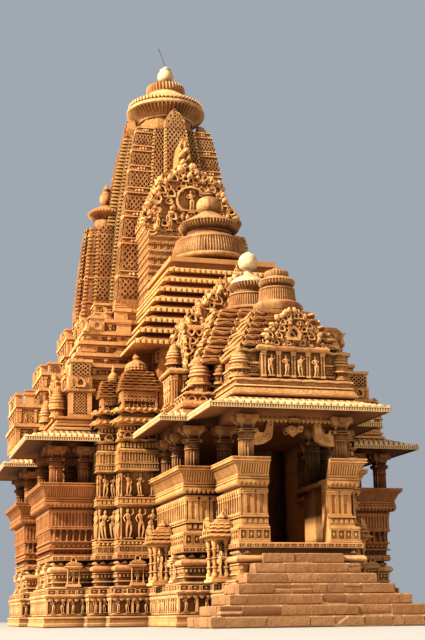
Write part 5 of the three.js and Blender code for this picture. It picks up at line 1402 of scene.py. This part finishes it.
arch = []
for y, middle in ((0.785, 0.605), (1.015, 1.155)):
    arch += [placed(scroll(s, *winding), 0, y) for s in (-1, 1) for winding in (
        (0.8, 5.36, 0.13, 0.026, 1.4, 0), (0.74, 5.72, 0.1, 0.022, 1.2, 1), (1.05, 5.28, 0.1, 0.022, 1.2, 2))]
    arch += [placed(scroll(s, 0.14, 5.56, 0.1, 0.022, 1.3, 0.5), 0, middle) for s in (-1, 1)]
show("entrance_carving", STONE, arch,
     copies(petal(0.13, 0.12, 0.05), [[x, 0.772, 5.885, 0] for x in np.arange(-1.2, 1.21, 0.135)]),
     copies(panel(0.13, 0.085, 0.03), [[x, 0.772, 5.88, 0] for x in np.arange(-1.2, 1.21, 0.15)]))


# Stage

scene = bpy.context.scene


def into_scene(name, data):
    obj = bpy.data.objects.new(name, data)
    scene.collection.objects.link(obj)
    return obj


ground = bpy.data.meshes.new("floor")
ground.from_pydata([(-70, -90, -0.002), (70, -90, -0.002), (70, 70, -0.002), (-70, 70, -0.002)], [], [(0, 1, 2, 3)])
pale, shader, _ = material("floor_pale")
put(shader, Base_Color=(0.44, 0.415, 0.38, 1), Roughness=0.9)
ground.materials.append(pale)
into_scene("floor", ground)


def area_light(name, location, target, size, energy, color):
    light = bpy.data.lights.new(name, "AREA")
    light.shape, light.size, light.energy, light.color = "DISK", size, energy, color
    obj = into_scene(name, light)
    obj.location = location
    obj.rotation_euler = (Vector(target) - Vector(location)).to_track_quat("-Z", "Y").to_euler()


area_light("key", (-210, -54, 164), (0, 0, 10), size=18, energy=1620000, color=(1, 0.92, 0.79))
area_light("fill", (50, -150, 105), (0, 0, 9), size=60, energy=46000, color=(1, 0.70, 0.50))
scene.world = bpy.data.worlds.new("studio")
scene.world.use_nodes = True
put(scene.world.node_tree.nodes["Background"], Color=(0.81, 0.89, 1, 1), Strength=0.40)
scene.view_settings.view_transform = "Standard"
scene.view_settings.look = "Medium High Contrast"

# Camera at the photograph's place
CAMERA_PLACE = (-11.44, -43.5105, 0.30)
yaw, pitch, roll = (math.radians(a) for a in (15.26, 13.88, -0.69))
forward = Vector((math.sin(yaw) * math.cos(pitch), math.cos(yaw) * math.cos(pitch), math.sin(pitch)))
right = Vector((math.cos(yaw), -math.sin(yaw), 0))
up = right.cross(forward)
across = right * math.cos(roll) + up * math.sin(roll)
above = -right * math.sin(roll) + up * math.cos(roll)
camera = bpy.data.cameras.new("camera")
camera.sensor_fit, camera.sensor_height, camera.lens, camera.clip_end = "VERTICAL", 36, 67.5, 300
scene.camera = into_scene("camera", camera)
scene.camera.matrix_world = Matrix.Translation(CAMERA_PLACE) @ Matrix((across, above, -forward)).transposed().to_4x4()
